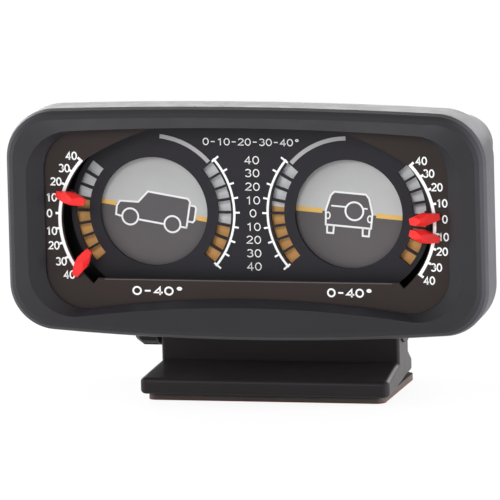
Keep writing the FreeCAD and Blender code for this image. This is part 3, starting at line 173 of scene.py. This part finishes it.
def bumped(tree, shader, relief, strength, distance):
    """Bump of a depth in metres."""
    node = tree.nodes.new("ShaderNodeBump")
    node.inputs["Strength"].default_value = strength
    node.inputs["Distance"].default_value = distance
    tree.links.new(relief, node.inputs["Height"])
    tree.links.new(node.outputs["Normal"], shader.inputs["Normal"])


# ---------------------------------------------------------------- kinds of material
CLOUD_SCALE = {"plastic": 60.0, "metal": 220.0, "shaded ink": 300.0}    # unevenness of the colour
GLOSS_SCALE = {"plastic": 180.0, "metal": 400.0}                        # unevenness of the gloss
GRAIN_DETAIL = 2.0
METAL_MARKS = 900.0
METAL_MARKS_DETAIL = 1.0
METAL_MARKS_DEPTH = 0.00001
METAL_MARKS_STRENGTH = 0.2
INK_ROUGH = (0.45, 0.6)
INK_SURFACE = {"grain": 4000.0, "depth": 0.000004, "strength": 0.2, "specular": 0.2}
INK_CLOUD = ((0.93, 0.93, 0.93), (1, 1, 1))


def set_surface(tree, shader, colour, rough, grain, depth, strength, specular):
    """Colour, uneven gloss and fine grain of anything but metal."""
    tree.links.new(colour, shader.inputs["Base Color"])
    gloss = noise(tree, GLOSS_SCALE["plastic"])
    tree.links.new(spread(tree, gloss, *rough), shader.inputs["Roughness"])
    bumped(tree, shader, noise(tree, grain, GRAIN_DETAIL), strength, depth)
    shader.inputs["Specular IOR Level"].default_value = specular


def plastic(name, dark, light, rough, grain=2600.0, depth=0.00002, strength=0.3, specular=0.5):
    """Moulded plastic: grained surface, faint cloudiness and uneven gloss."""
    material, tree, shader = new_material(name)
    colour = mixed(tree, noise(tree, CLOUD_SCALE["plastic"]), dark, light)
    set_surface(tree, shader, colour, rough, grain, depth, strength, specular)
    return material


def metal(name, dark, light, rough):
    """Metal with fine machining marks."""
    material, tree, shader = new_material(name)
    colour = mixed(tree, noise(tree, CLOUD_SCALE["metal"]), dark, light)
    tree.links.new(colour, shader.inputs["Base Color"])
    gloss = noise(tree, GLOSS_SCALE["metal"])
    tree.links.new(spread(tree, gloss, *rough), shader.inputs["Roughness"])
    shader.inputs["Metallic"].default_value = 1.0
    marks = noise(tree, METAL_MARKS, METAL_MARKS_DETAIL)
    bumped(tree, shader, marks, METAL_MARKS_STRENGTH, METAL_MARKS_DEPTH)
    return material


def ink(name, dark, light):
    """Screen-printed ink, faintly uneven."""
    return plastic(name, dark, light, INK_ROUGH, **INK_SURFACE)


def shaded_ink(name, low_colour, high_colour, low, high):
    """Ink whose colour changes with height over the gauge's centre."""
    material, tree, shader = new_material(name)
    blend = mixed(tree, height(tree, LEVEL + low, LEVEL + high), low_colour, high_colour)
    cloud = mixed(tree, noise(tree, CLOUD_SCALE["shaded ink"]), *INK_CLOUD)
    set_surface(tree, shader, multiplied(tree, blend, cloud), INK_ROUGH, **INK_SURFACE)
    return material


def red_plastic():
    """Slightly translucent red moulding."""
    material = plastic("marker_red", (0.68, 0.014, 0.015), (0.92, 0.032, 0.03), (0.3, 0.45),
                       grain=1500.0, depth=0.00003, strength=0.4, specular=0.3)
    shader = node_of_type(material.node_tree, "BSDF_PRINCIPLED")
    shader.inputs["Subsurface Weight"].default_value = 0.06
    shader.inputs["Subsurface Radius"].default_value = (0.002, 0.0003, 0.0003)
    shader.inputs["Subsurface Scale"].default_value = 0.5
    return material


# ---------------------------------------------------------------- materials
HOUSING = plastic("housing_charcoal", (0.0185, 0.018, 0.021), (0.0235, 0.023, 0.0265), (0.38, 0.5),
                  specular=0.22)
SHELL = plastic("shell_charcoal", (0.014, 0.014, 0.016), (0.019, 0.019, 0.021), (0.45, 0.6),
                specular=0.25)
# Charcoal plastic like the housing's, made darker as painted shade for the shade under the housing.
FOOT_SHADE_DARKENED = plastic("foot_charcoal_with_painted_shade", (0.014, 0.012, 0.013), (0.019, 0.017, 0.018), (0.34, 0.46),
               specular=0.1)
SCALE_BLACK = plastic("scale_black", (0.024, 0.0165, 0.0155), (0.029, 0.0205, 0.0195), (0.45, 0.55),
                      grain=3600.0, specular=0.2)
DIAL_BLACK = plastic("dial_black", (0.016, 0.0145, 0.0185), (0.02, 0.0185, 0.0235), (0.45, 0.55),
                     grain=3600.0, specular=0.2)
INNER_BLACK = plastic("inner_black", (0.012, 0.012, 0.012), (0.018, 0.018, 0.018), (0.5, 0.65),
                      specular=0.2)
NYLON = plastic("natural_nylon", (0.58, 0.56, 0.5), (0.66, 0.64, 0.58), (0.35, 0.5))
FOAM = plastic("foam", (0.028, 0.024, 0.022), (0.055, 0.048, 0.045), (0.8, 0.95),
               grain=1800.0, depth=0.0001, strength=0.8, specular=0.2)
LINER = plastic("liner", (0.05, 0.006, 0.006), (0.08, 0.008, 0.008), (0.4, 0.5), specular=0.2)
STEEL = metal("zinc_steel", (0.42, 0.42, 0.41), (0.58, 0.58, 0.56), (0.28, 0.42))
BRASS = metal("turned_brass", (0.5, 0.36, 0.14), (0.66, 0.5, 0.22), (0.25, 0.4))
RED = red_plastic()

DISC_SHADE = 16             # the disc's colours change over this height, up or down from its centre
RING_SHADE = 14
WHITE_INK = ink("white_ink", (0.92, 0.92, 0.92), (0.96, 0.96, 0.96))
COLUMN_INK = ink("column_ink", (0.76, 0.75, 0.75), (0.84, 0.83, 0.83))
FAINT_INK = ink("faint_ink", (0.36, 0.35, 0.36), (0.44, 0.43, 0.44))
# painted highlight for the lit top edge of the outer panel's ledge
LEDGE_HIGHLIGHT_PAINT = ink("ledge_highlight_paint", (0.08, 0.07, 0.07), (0.12, 0.105, 0.1))
SKY_INK = shaded_ink("sky_ink", (0.52, 0.525, 0.53), (0.42, 0.42, 0.42), 0, DISC_SHADE)
GROUND_INK = shaded_ink("ground_ink", (0.135, 0.124, 0.13), (0.105, 0.096, 0.1), -DISC_SHADE, 0)
CAR_INK = ink("car_ink", (0.095, 0.088, 0.094), (0.115, 0.106, 0.113))
OUTLINE_INK = ink("outline_ink", (0.8, 0.8, 0.8), (0.88, 0.88, 0.88))
HORIZON_INK = ink("horizon_ink", (0.7, 0.43, 0.12), (0.78, 0.5, 0.15))
UPPER_INK = shaded_ink("upper_ink", (0.9, 0.9, 0.93), (0.82, 0.84, 0.86), 0, RING_SHADE)
LOWER_INK = shaded_ink("lower_ink", (0.8, 0.4, 0.14), (0.82, 0.46, 0.16), -RING_SHADE, 0)

NODE_MATERIALS = {
    "foot": FOOT_SHADE_DARKENED, "hinge_knob": FOOT_SHADE_DARKENED, "hinge_bracket": FOOT_SHADE_DARKENED,
    "front_bezel": HOUSING, "rear_shell": SHELL,
    "outer_scale_panel": SCALE_BLACK, "inner_dial_panel": DIAL_BLACK,
    "adhesive_pad": FOAM, "pad_liner": LINER,
    "pitch_disc": GROUND_INK, "roll_disc": GROUND_INK,
    "knob_insert": BRASS, "pendulum_bob": BRASS, "roll_weight": BRASS,
    "friction_washer_left": NYLON, "friction_washer_right": NYLON,
    "pendulum_gear": NYLON, "pitch_spindle_gear": NYLON,
}


def node_material(name):
    """The material of one CAD node, by its name or by the kind of piece that its name says."""
    if name in NODE_MATERIALS:
        return NODE_MATERIALS[name]
    if "bush" in name:
        return NYLON
    if name.startswith("marker_"):
        return RED
    if name.endswith(("screws", "spindle", "axle", "bolt", "collar")):
        return STEEL
    return INNER_BLACK


def dress_nodes():
    """Gives every CAD node its material."""
    for name, node in NODES.items():
        node.data.materials.clear()
        node.data.materials.append(node_material(name))
        for polygon in node.data.polygons:
            polygon.material_index = 0


# ---------------------------------------------------------------- flat prints
RING_STEP = 2.0             # degrees between the points of a ring
HALF_DISC_STEPS = 48
MITRE_LIMIT = 0.5           # a sharp corner widens its strip to at most 1 / this of the width


def ring_print(name, centre, inner, outer, start, end, depth, material):
    """A flat ring sector facing the front."""
    steps = max(2, int(abs(end - start) / RING_STEP))
    points = []
    for k in range(steps + 1):
        angle = start + (end - start) * k / steps
        for radius in (inner, outer):
            x, z = polar(centre, radius, angle)
            points.append((x, depth, z + LEVEL))
    faces = [(2 * k, 2 * k + 1, 2 * k + 3, 2 * k + 2) for k in range(steps)]
    return mesh_object(name, points, faces, material)


def half_disc(name, radius, start, end, depth, material):
    """A flat sector from the middle of the disc, as a fan of triangles."""
    points = [(0, depth, LEVEL)]
    for k in range(HALF_DISC_STEPS + 1):
        x, z = polar((0, 0), radius, start + (end - start) * k / HALF_DISC_STEPS)
        points.append((x, depth, z + LEVEL))
    faces = [(0, k + 1, k + 2) for k in range(HALF_DISC_STEPS)]
    return mesh_object(name, points, faces, material)


def strip_print(name, path, width, depth, material, closed=False):
    """A flat line of even width through the path's points, mitred at its corners."""
    count = len(path)
    spots = [Vector(p) for p in path]
    points, faces = [], []
    for k, spot in enumerate(spots):
        before = spots[k - 1] if (k > 0 or closed) else None
        after = spots[(k + 1) % count] if (k < count - 1 or closed) else None
        legs = [(spot - before).normalized()] if before is not None else []
        legs += [(after - spot).normalized()] if after is not None else []
        along = sum(legs, Vector((0, 0))).normalized()
        stretch = 1 / max(MITRE_LIMIT, along.dot(legs[0]))
        across = Vector((-along.y, along.x)) * width / 2 * stretch
        for way in (1, -1):
            points.append((spot.x + way * across.x, depth, spot.y + way * across.y + LEVEL))
    for k in range(count if closed else count - 1):
        following = (k + 1) % count
        faces.append((2 * k, 2 * k + 1, 2 * following + 1, 2 * following))
    return mesh_object(name, points, faces, material)


def filled_print(name, path, depth, material):
    """A flat filled outline."""
    points = [(x, depth, z + LEVEL) for x, z in path]
    return mesh_object(name, points, [tuple(range(len(path)))], material)


# ---------------------------------------------------------------- numbers
# The strokes of each sign, one unit tall, round its own middle. True closes a stroke.
STROKES = {
    "0": [(closed_oval((0, 0), 0.27, 0.44), True)],
    "1": [([(-0.17, 0.26), (-0.02, 0.31), (0.07, 0.44)], False),
          ([(0.07, 0.5), (0.07, -0.5)], False)],
    "2": [(oval((0, 0.2), 0.25, 0.24, 165, -35, 14) + [(-0.27, -0.42), (0.29, -0.42)], False)],
    "3": [(oval((-0.01, 0.22), 0.23, 0.22, 155, -85, 14), False),
          (oval((-0.01, -0.2), 0.27, 0.24, 88, -155, 16), False)],
    "4": [([(0.12, -0.5), (0.12, 0.42), (-0.27, -0.2), (0.31, -0.2)], False)],
    "-": [([(-0.2, 0.0), (0.2, 0.0)], False)],
    "°": [(closed_oval((0, 0.3), 0.13, 0.13, 12), True)],
}


def number_print(text, x, z, tall, wide, line, depth, material, spacing=0.74):
    """A printed number: tall is the digit height, wide stretches the digits sideways."""
    parts = []
    for k, sign in enumerate(text):
        shift = (k - (len(text) - 1) / 2) * spacing * tall * wide
        for path, closed in STROKES[sign]:
            spots = [(x + shift + u * tall * wide, z + v * tall) for u, v in path]
            parts.append(strip_print("digit", spots, line, depth, material, closed))
    return joined("number", parts)


# ---------------------------------------------------------------- outer scale panel's print
# Each number from the top one to the bottom one: outwards from the gauge's centre, and up.
SCALE_NUMBERS = (("40", 22.4, 16.7), ("30", 24.6, 13.1), ("20", 27.1, 9.2), ("10", 28.6, 4.6),
                 ("0", 29.25, 0),
                 ("10", 28.8, -5.1), ("20", 28.2, -9.3), ("30", 26.2, -13.9), ("40", 23.9, -17.7))
ARC_CENTRE = (1.4, -1.6)    # outwards from the gauge's centre, and up
ARC_RADIUS = 24.85
ARC_WIDTH = 0.95
ARC_TOP = 43.0              # degrees of the first and the last tick
ARC_LOW = -35.6
TICK_LENGTH = 1.3
TICK_WIDTH = 0.7
OUTER_DIGIT = 2.35
OUTER_STRETCH = 0.98
OUTER_LINE = 0.42
RIGHT_SHIFT = 0.045         # how much further out the right numbers stand per millimetre of height
RIGHT_STEADY = 8.0          # height at which they stand as on the left; the 0 is never moved

LOWER_MARK = "0-40°"
LOWER_MARKS = ((-26.4, -22.0, 1.75), (29.7, -21.7, 1.55))   # place and stretch of each
LOWER_DIGIT = 2.4
LOWER_LINE = 0.5

# Painted highlight along the ledge's top edge: its height, half length and width.
LEDGE_LEVEL = -18.85
LEDGE_HALF = 42.0
LEDGE_LINE = 0.3


def gauge_name(side):
    """The roll gauge is at the right (side 1), the pitch gauge at the left (side -1)."""
    return "roll" if side > 0 else "pitch"


def outer_number_x(side, outwards, z):
    """Where one of the outer numbers stands across the panel."""
    shift = RIGHT_SHIFT * (abs(z) - RIGHT_STEADY) if side > 0 and z else 0
    return side * (GAUGE_X + outwards) + shift


def outer_scale(side):
    """White arc, ticks and numbers on one wing."""
    depth = SCALE_FACE - PRINT
    centre = (side * (GAUGE_X + ARC_CENTRE[0]), ARC_CENTRE[1])

    def angle(degrees):
        return degrees if side > 0 else 180 - degrees

    half_tick = math.degrees(TICK_WIDTH / 2 / ARC_RADIUS)
    parts = [ring_print("arc", centre, ARC_RADIUS - ARC_WIDTH / 2, ARC_RADIUS + ARC_WIDTH / 2,
                        angle(ARC_TOP + half_tick), angle(ARC_LOW - half_tick), depth, WHITE_INK)]
    for k, (text, outwards, z) in enumerate(SCALE_NUMBERS):
        at = angle(ARC_TOP + (ARC_LOW - ARC_TOP) * k / (len(SCALE_NUMBERS) - 1))
        tick = [polar(centre, ARC_RADIUS, at), polar(centre, ARC_RADIUS + TICK_LENGTH, at)]
        parts.append(strip_print("tick", tick, TICK_WIDTH, depth - LAYER, WHITE_INK))
        x = outer_number_x(side, outwards, z)
        parts.append(number_print(text, x, z, OUTER_DIGIT, OUTER_STRETCH, OUTER_LINE, depth, WHITE_INK))
    return joined("outer_scale_" + gauge_name(side), parts)


def degree_marks():
    """Plain degree marks below each gauge."""
    depth = SCALE_FACE - PRINT
    parts = [number_print(LOWER_MARK, x, z, LOWER_DIGIT, stretch, LOWER_LINE, depth, WHITE_INK)
             for x, z, stretch in LOWER_MARKS]
    return joined("lower_degree_marks", parts)


def painted_ledge_highlight():
    """Painted highlight: a thin light strip along the top edge of the outer panel's ledge, where that
    edge catches the light.
    """
    path = [(-LEDGE_HALF, LEDGE_LEVEL), (LEDGE_HALF, LEDGE_LEVEL)]
    return strip_print("ledge_painted_highlight", path, LEDGE_LINE, SCALE_FACE - PRINT, LEDGE_HIGHLIGHT_PAINT)


# ---------------------------------------------------------------- inner dial panel's print
INNER_ARC = (23.3, 23.97)           # inner and outer radius
INNER_ARC_END = 41                  # degrees above and below the middle
INNER_TICK = (23.6, 25.2)
INNER_TICK_WIDTH = 0.55
END_TICK_EXTRA = 0.9                # the first and last ticks start this much further in
TICK_STEP = 10                      # degrees between the ticks
LAST_TICK = 4                       # ticks above and below the middle one
GREY_ARC = (21.3, 22.5)
GREY_START = 41.5
GREY_TOP = {-1: 84.0, 1: 89.0}      # where the grey arc ends, left and right gauge

# The height of each number of the middle column.
COLUMN_NUMBERS = (("40", 15.26), ("30", 11.51), ("20", 7.58), ("10", 3.65), ("0", -0.11),
                  ("10", -4.01), ("20", -7.77), ("30", -11.65), ("40", -15.47))
COLUMN_X = 0.6
COLUMN_DIGIT = 2.36
COLUMN_STRETCH = 1.3
COLUMN_LINE = 0.3
COLUMN_SPACING = 0.76

HEADING = "0-10-20-30-40°"
HEADING_LEVEL = 20.45
HEADING_DIGIT = 2.1
HEADING_STRETCH = 1.32


def inner_print(side):
    """White arc with ticks on the centre side of one gauge and the grey arc above it."""
    depth = DIAL_FACE - PRINT
    centre = (side * GAUGE_X, 0)

    def angle(degrees):
        return 180 - degrees if side > 0 else degrees

    parts = [ring_print("arc", centre, *INNER_ARC, angle(INNER_ARC_END), angle(-INNER_ARC_END), depth,
                        WHITE_INK)]
    for step in range(-LAST_TICK, LAST_TICK + 1):
        at = angle(step * TICK_STEP)
        start = INNER_TICK[0] - (END_TICK_EXTRA if abs(step) == LAST_TICK else 0.0)
        tick = [polar(centre, start, at), polar(centre, INNER_TICK[1], at)]
        parts.append(strip_print("tick", tick, INNER_TICK_WIDTH, depth - LAYER, WHITE_INK))
    parts.append(ring_print("grey_arc", centre, *GREY_ARC, angle(GREY_TOP[side]), angle(GREY_START),
                            depth, FAINT_INK))
    return joined("inner_scale_" + gauge_name(side), parts)


def number_column():
    """Numbers shared by both gauges, and plain degree marks above them."""
    depth = DIAL_FACE - PRINT
    parts = [number_print(text, COLUMN_X, z, COLUMN_DIGIT, COLUMN_STRETCH, COLUMN_LINE, depth,
                          COLUMN_INK, COLUMN_SPACING)
             for text, z in COLUMN_NUMBERS]
    parts.append(number_print(HEADING, COLUMN_X, HEADING_LEVEL, HEADING_DIGIT, HEADING_STRETCH,
                              COLUMN_LINE, depth, COLUMN_INK))
    return joined("centre_numbers", parts)


# ---------------------------------------------------------------- discs
DISC_RIM = 0.1                      # bare rim of the disc outside its print
HORIZON_WIDTH = 1.35
HORIZON_END = WINDOW_RADIUS * 1.05  # just behind the window's edge
SIDE_VIEW_GAP = (-11.6, 12.1)       # the horizon stops at the vehicle
REAR_VIEW_GAP = (-8.1, 7.6)
OUTLINE = 0.54                      # width of the vehicles' lines
RAIL_LINE = OUTLINE * 0.85
LAMP_LINE = OUTLINE * 0.7
WHEEL_RADIUS = 2.35
SPARE_RADIUS = 2.6
LAMP_ACROSS, LAMP_UP = 0.6, 0.95


def disc_ground():
    """Sky and ground halves and the ring behind the segment windows."""
    depth = DISC_FACE - PRINT
    outer = DISC_RADIUS - DISC_RIM
    return [
        half_disc("sky", RING_INNER, 0, 180, depth, SKY_INK),
        half_disc("ground", RING_INNER, 180, 360, depth, GROUND_INK),
        ring_print("ring_up", (0, 0), RING_INNER, outer, 0, 180, depth, UPPER_INK),
        ring_print("ring_down", (0, 0), RING_INNER, outer, 180, 360, depth, LOWER_INK),
    ]


def side_view(depth):
    """Boxy off-road vehicle from the side: a filled body with a white outline."""
    body = [(-9.6, -3.4), (-11.2, -3.2), (-11.3, -0.6), (-10.6, 0.9), (-5.3, 1.5), (-2.9, 5.0),
            (8.9, 5.0), (9.7, 4.2), (9.7, -3.4)]
    spare = [(9.9, 3.2), (11.3, 3.2), (11.7, 2.6), (11.7, -0.9), (11.3, -1.5), (9.9, -1.5)]
    parts = [
        filled_print("body_fill", body, depth + LAYER / 2, CAR_INK),
        filled_print("spare_fill", spare, depth + LAYER / 2, CAR_INK),
        strip_print("body", body, OUTLINE, depth, OUTLINE_INK),
        strip_print("front_sill", [(-9.6, -3.4), (-9.2, -3.4)], OUTLINE, depth, OUTLINE_INK),
        strip_print("sill", [(-4.4, -3.5), (2.9, -3.5)], OUTLINE, depth, OUTLINE_INK),
        strip_print("rear_sill", [(9.9, -3.4), (8.0, -3.4)], OUTLINE, depth, OUTLINE_INK),
        strip_print("spare", spare, OUTLINE, depth, OUTLINE_INK),
    ]
    for centre in ((-7.0, -3.1), (5.5, -3.1)):
        rim = closed_oval(centre, WHEEL_RADIUS, WHEEL_RADIUS)
        parts.append(filled_print("wheel_fill", rim, depth - LAYER / 2, CAR_INK))
        parts.append(strip_print("wheel", rim, OUTLINE, depth - LAYER, OUTLINE_INK, True))
    return parts


def rear_view(depth):
    """The same vehicle from behind, with its spare wheel."""
    body = [(-6.9, -3.9), (-7.1, 0.4), (-5.9, 4.7), (-4.9, 5.8),
            (4.3, 5.8), (5.3, 4.7), (6.5, 0.4), (6.3, -3.9)]
    tyre = [(-1.0, 0.0), (-0.9, -2.2), (0.9, -2.2), (1.0, 0.0)]
    rim = closed_oval((1.2, 0.7), SPARE_RADIUS, SPARE_RADIUS)
    parts = [
        filled_print("body_fill", body, depth + LAYER / 2, CAR_INK),
        strip_print("body", body, OUTLINE, depth, OUTLINE_INK, True),
        strip_print("rail", [(-5.6, 1.7), (-1.3, 1.7)], RAIL_LINE, depth, OUTLINE_INK),
        strip_print("rail_end", [(3.7, 1.7), (5.0, 1.7)], RAIL_LINE, depth, OUTLINE_INK),
        filled_print("spare_fill", rim, depth - LAYER / 2, CAR_INK),
        strip_print("spare", rim, OUTLINE, depth - LAYER, OUTLINE_INK, True),
    ]
    for x, z in ((-5.5, -4.0), (4.9, -4.0)):
        spots = [(x + u, z + v) for u, v in tyre]
        parts.append(filled_print("tyre_fill", spots, depth + LAYER / 2, CAR_INK))
        parts.append(strip_print("tyre", spots, OUTLINE, depth, OUTLINE_INK))
    for centre in ((-6.4, -1.2), (5.8, -1.2)):
        lamp = closed_oval(centre, LAMP_ACROSS, LAMP_UP, 18)
        parts.append(strip_print("lamp", lamp, LAMP_LINE, depth - LAYER, OUTLINE_INK, True))
    return parts


def disc_face(disc, side, rest_turn, figure, gap):
    """Everything printed on one disc, turned to its rest angle."""
    depth = DISC_FACE - PRINT
    parts = disc_ground()
    for start, end in ((-HORIZON_END, gap[0]), (gap[1], HORIZON_END)):
        line = [(start, 0), (end, 0)]
        parts.append(strip_print("horizon", line, HORIZON_WIDTH, depth - LAYER, HORIZON_INK))
    parts += figure(depth - 3 * LAYER)
    face = joined(disc + "_print", parts)
    about = Matrix.Translation((side * GAUGE_X * MM, 0, 0))
    lift = Matrix.Translation((0, 0, LEVEL * MM))
    turn = Matrix.Rotation(math.radians(-rest_turn), 4, "Y")
    face.data.transform(about @ lift @ turn @ lift.inverted())
    return face


# ---------------------------------------------------------------- light and floor
# Name, place, size and power of each soft lamp; metres and watts.
LAMPS = (("front", (-0.25, -1.02, 0.56), (0.5, 0.4), 4.6),
         ("left", (-0.75, -0.22, 0.22), (0.5, 0.4), 4.2),
         ("back", (-0.25, 1.0, 0.3), (1.4, 0.4), 6.3),
         ("low_left", (-0.4, 0.0, 0.06), (0.3, 0.08), 3.0),
         ("low_right", (0.45, 0.03, 0.06), (0.3, 0.08), 7.0))
UNMIRRORED = ("left", "low_left", "low_right")      # lamps that light the object without a mirror image
AIM = (0, -0.02, 0.04)

ROOM_LIGHT = 0.25           # strength of the white room's own light
WHITE = (1, 1, 1, 1)
FLOOR_HALF = 6000.0         # millimetres
FLOOR_DROP = 0.0002         # metres below the object, so that the two never fight for one plane
FLOOR_SEEN = 0.87           # share of pure white in the floor as it is seen
FLOOR_CLOUD = 3.0


def area_light(name, place, size, power):
    """One soft lamp that points at the object and is never seen itself."""
    lamp = bpy.data.lights.new(name, "AREA")
    lamp.shape = "RECTANGLE"
    lamp.size, lamp.size_y = size
    lamp.energy = power
    light = link(bpy.data.objects.new(name, lamp))
    light.location = place
    light.visible_camera = False
    light.visible_glossy = name not in UNMIRRORED
    light.rotation_euler = (Vector(AIM) - Vector(place)).to_track_quat("-Z", "Y").to_euler()


def seen_directly(tree, share):
    """The share for camera, glossy and transmission rays, and 0 for the rays that carry light."""
    path = tree.nodes.new("ShaderNodeLightPath")
    total = path.outputs["Is Camera Ray"]
    for other in ("Is Glossy Ray", "Is Transmission Ray"):
        add = tree.nodes.new("ShaderNodeMath")
        add.use_clamp = True
        tree.links.new(total, add.inputs[0])
        tree.links.new(path.outputs[other], add.inputs[1])
        total = add.outputs[0]
    scale = tree.nodes.new("ShaderNodeMath")
    scale.operation = "MULTIPLY"
    scale.inputs[1].default_value = share
    tree.links.new(total, scale.inputs[0])
    return scale.outputs[0]


def show_white(tree, lit, white, share, output):
    """One shader for the light, and the share of the white one where it is seen directly."""
    blend = tree.nodes.new("ShaderNodeMixShader")
    tree.links.new(seen_directly(tree, share), blend.inputs["Fac"])
    tree.links.new(lit.outputs[0], blend.inputs[1])
    tree.links.new(white.outputs[0], blend.inputs[2])
    tree.links.new(blend.outputs[0], output.inputs["Surface"])


def floor_material():
    """Pale floor that looks white where no shadow falls."""
    material, tree, shader = new_material("pale_floor")
    colour = mixed(tree, noise(tree, FLOOR_CLOUD), (0.86, 0.86, 0.86), (0.9, 0.9, 0.9))
    tree.links.new(colour, shader.inputs["Base Color"])
    shader.inputs["Roughness"].default_value = 0.7
    glow = tree.nodes.new("ShaderNodeEmission")
    show_white(tree, shader, glow, FLOOR_SEEN, node_of_type(tree, "OUTPUT_MATERIAL"))
    return material


def pale_floor():
    """Large floor under the object."""
    corners = [(-FLOOR_HALF, -FLOOR_HALF, 0), (FLOOR_HALF, -FLOOR_HALF, 0),
               (FLOOR_HALF, FLOOR_HALF, 0), (-FLOOR_HALF, FLOOR_HALF, 0)]
    floor = mesh_object("floor", corners, [(0, 1, 2, 3)], floor_material())
    floor.location.z = -FLOOR_DROP
    return floor


def background(tree, strength):
    """White background shader."""
    node = tree.nodes.new("ShaderNodeBackground")
    node.inputs["Color"].default_value = WHITE
    node.inputs["Strength"].default_value = strength
    return node


def white_room():
    """White surroundings that give a weak even light."""
    world = bpy.data.worlds.new("white_room")
    bpy.context.scene.world = world
    world.use_nodes = True
    tree = world.node_tree
    tree.nodes.clear()
    output = tree.nodes.new("ShaderNodeOutputWorld")
    show_white(tree, background(tree, ROOM_LIGHT), background(tree, 1.0), 1.0, output)


# ---------------------------------------------------------------- camera
CAMERA_AZIMUTH = 13.5       # degrees
CAMERA_ELEVATION = 10.0
CAMERA_ROLL = 1.45
CAMERA_DISTANCE = 4000.0    # millimetres
FOCAL_PIXELS = 14053.8      # focal length in pixels of the picture
PICTURE = 500               # width and height of the picture in pixels
DIAL_PIXEL = (251.0, 212.9)
SENSOR = 36.0               # millimetres
CLIP_END = 50.0             # metres


def camera():
    """Camera at the viewing angle, with the dials' middle at its place in the picture."""
    azimuth, elevation = math.radians(CAMERA_AZIMUTH), math.radians(CAMERA_ELEVATION)
    away = Vector((math.sin(azimuth) * math.cos(elevation), -math.cos(azimuth) * math.cos(elevation),
                   math.sin(elevation)))
    level_right = Vector((math.cos(azimuth), math.sin(azimuth), 0))
    level_up = away.cross(level_right)
    lean = math.radians(CAMERA_ROLL)
    right = level_right * math.cos(lean) - level_up * math.sin(lean)
    up = level_up * math.cos(lean) + level_right * math.sin(lean)
    per_pixel = CAMERA_DISTANCE / FOCAL_PIXELS
    across = (DIAL_PIXEL[0] - PICTURE / 2) * per_pixel
    above = (PICTURE / 2 - DIAL_PIXEL[1]) * per_pixel
    target = Vector((0, DIAL_FACE, LEVEL))
    eye = target - right * across - up * above + away * CAMERA_DISTANCE
    data = bpy.data.cameras.new("camera")
    data.sensor_width = SENSOR
    data.lens = FOCAL_PIXELS / PICTURE * SENSOR
    data.clip_end = CLIP_END
    obj = link(bpy.data.objects.new("camera", data))
    turn = Matrix((right, up, away)).transposed().to_4x4()
    obj.matrix_world = Matrix.Translation(eye * MM) @ turn
    bpy.context.scene.camera = obj


# ---------------------------------------------------------------- build
dress_nodes()
for side in (-1, 1):
    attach(outer_scale(side), "housing")
    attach(inner_print(side), "housing")
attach(degree_marks(), "housing")
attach(painted_ledge_highlight(), "housing")
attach(number_column(), "housing")
pitch_face = disc_face("pitch_disc", -1, PITCH_REST, side_view, SIDE_VIEW_GAP)
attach(pitch_face, "pitch_dial")
roll_face = disc_face("roll_disc", 1, ROLL_REST, rear_view, REAR_VIEW_GAP)
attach(roll_face, "roll_dial")
pale_floor()
white_room()
for lamp in LAMPS:
    area_light(*lamp)
camera()
bpy.context.scene.view_settings.view_transform = "Standard"
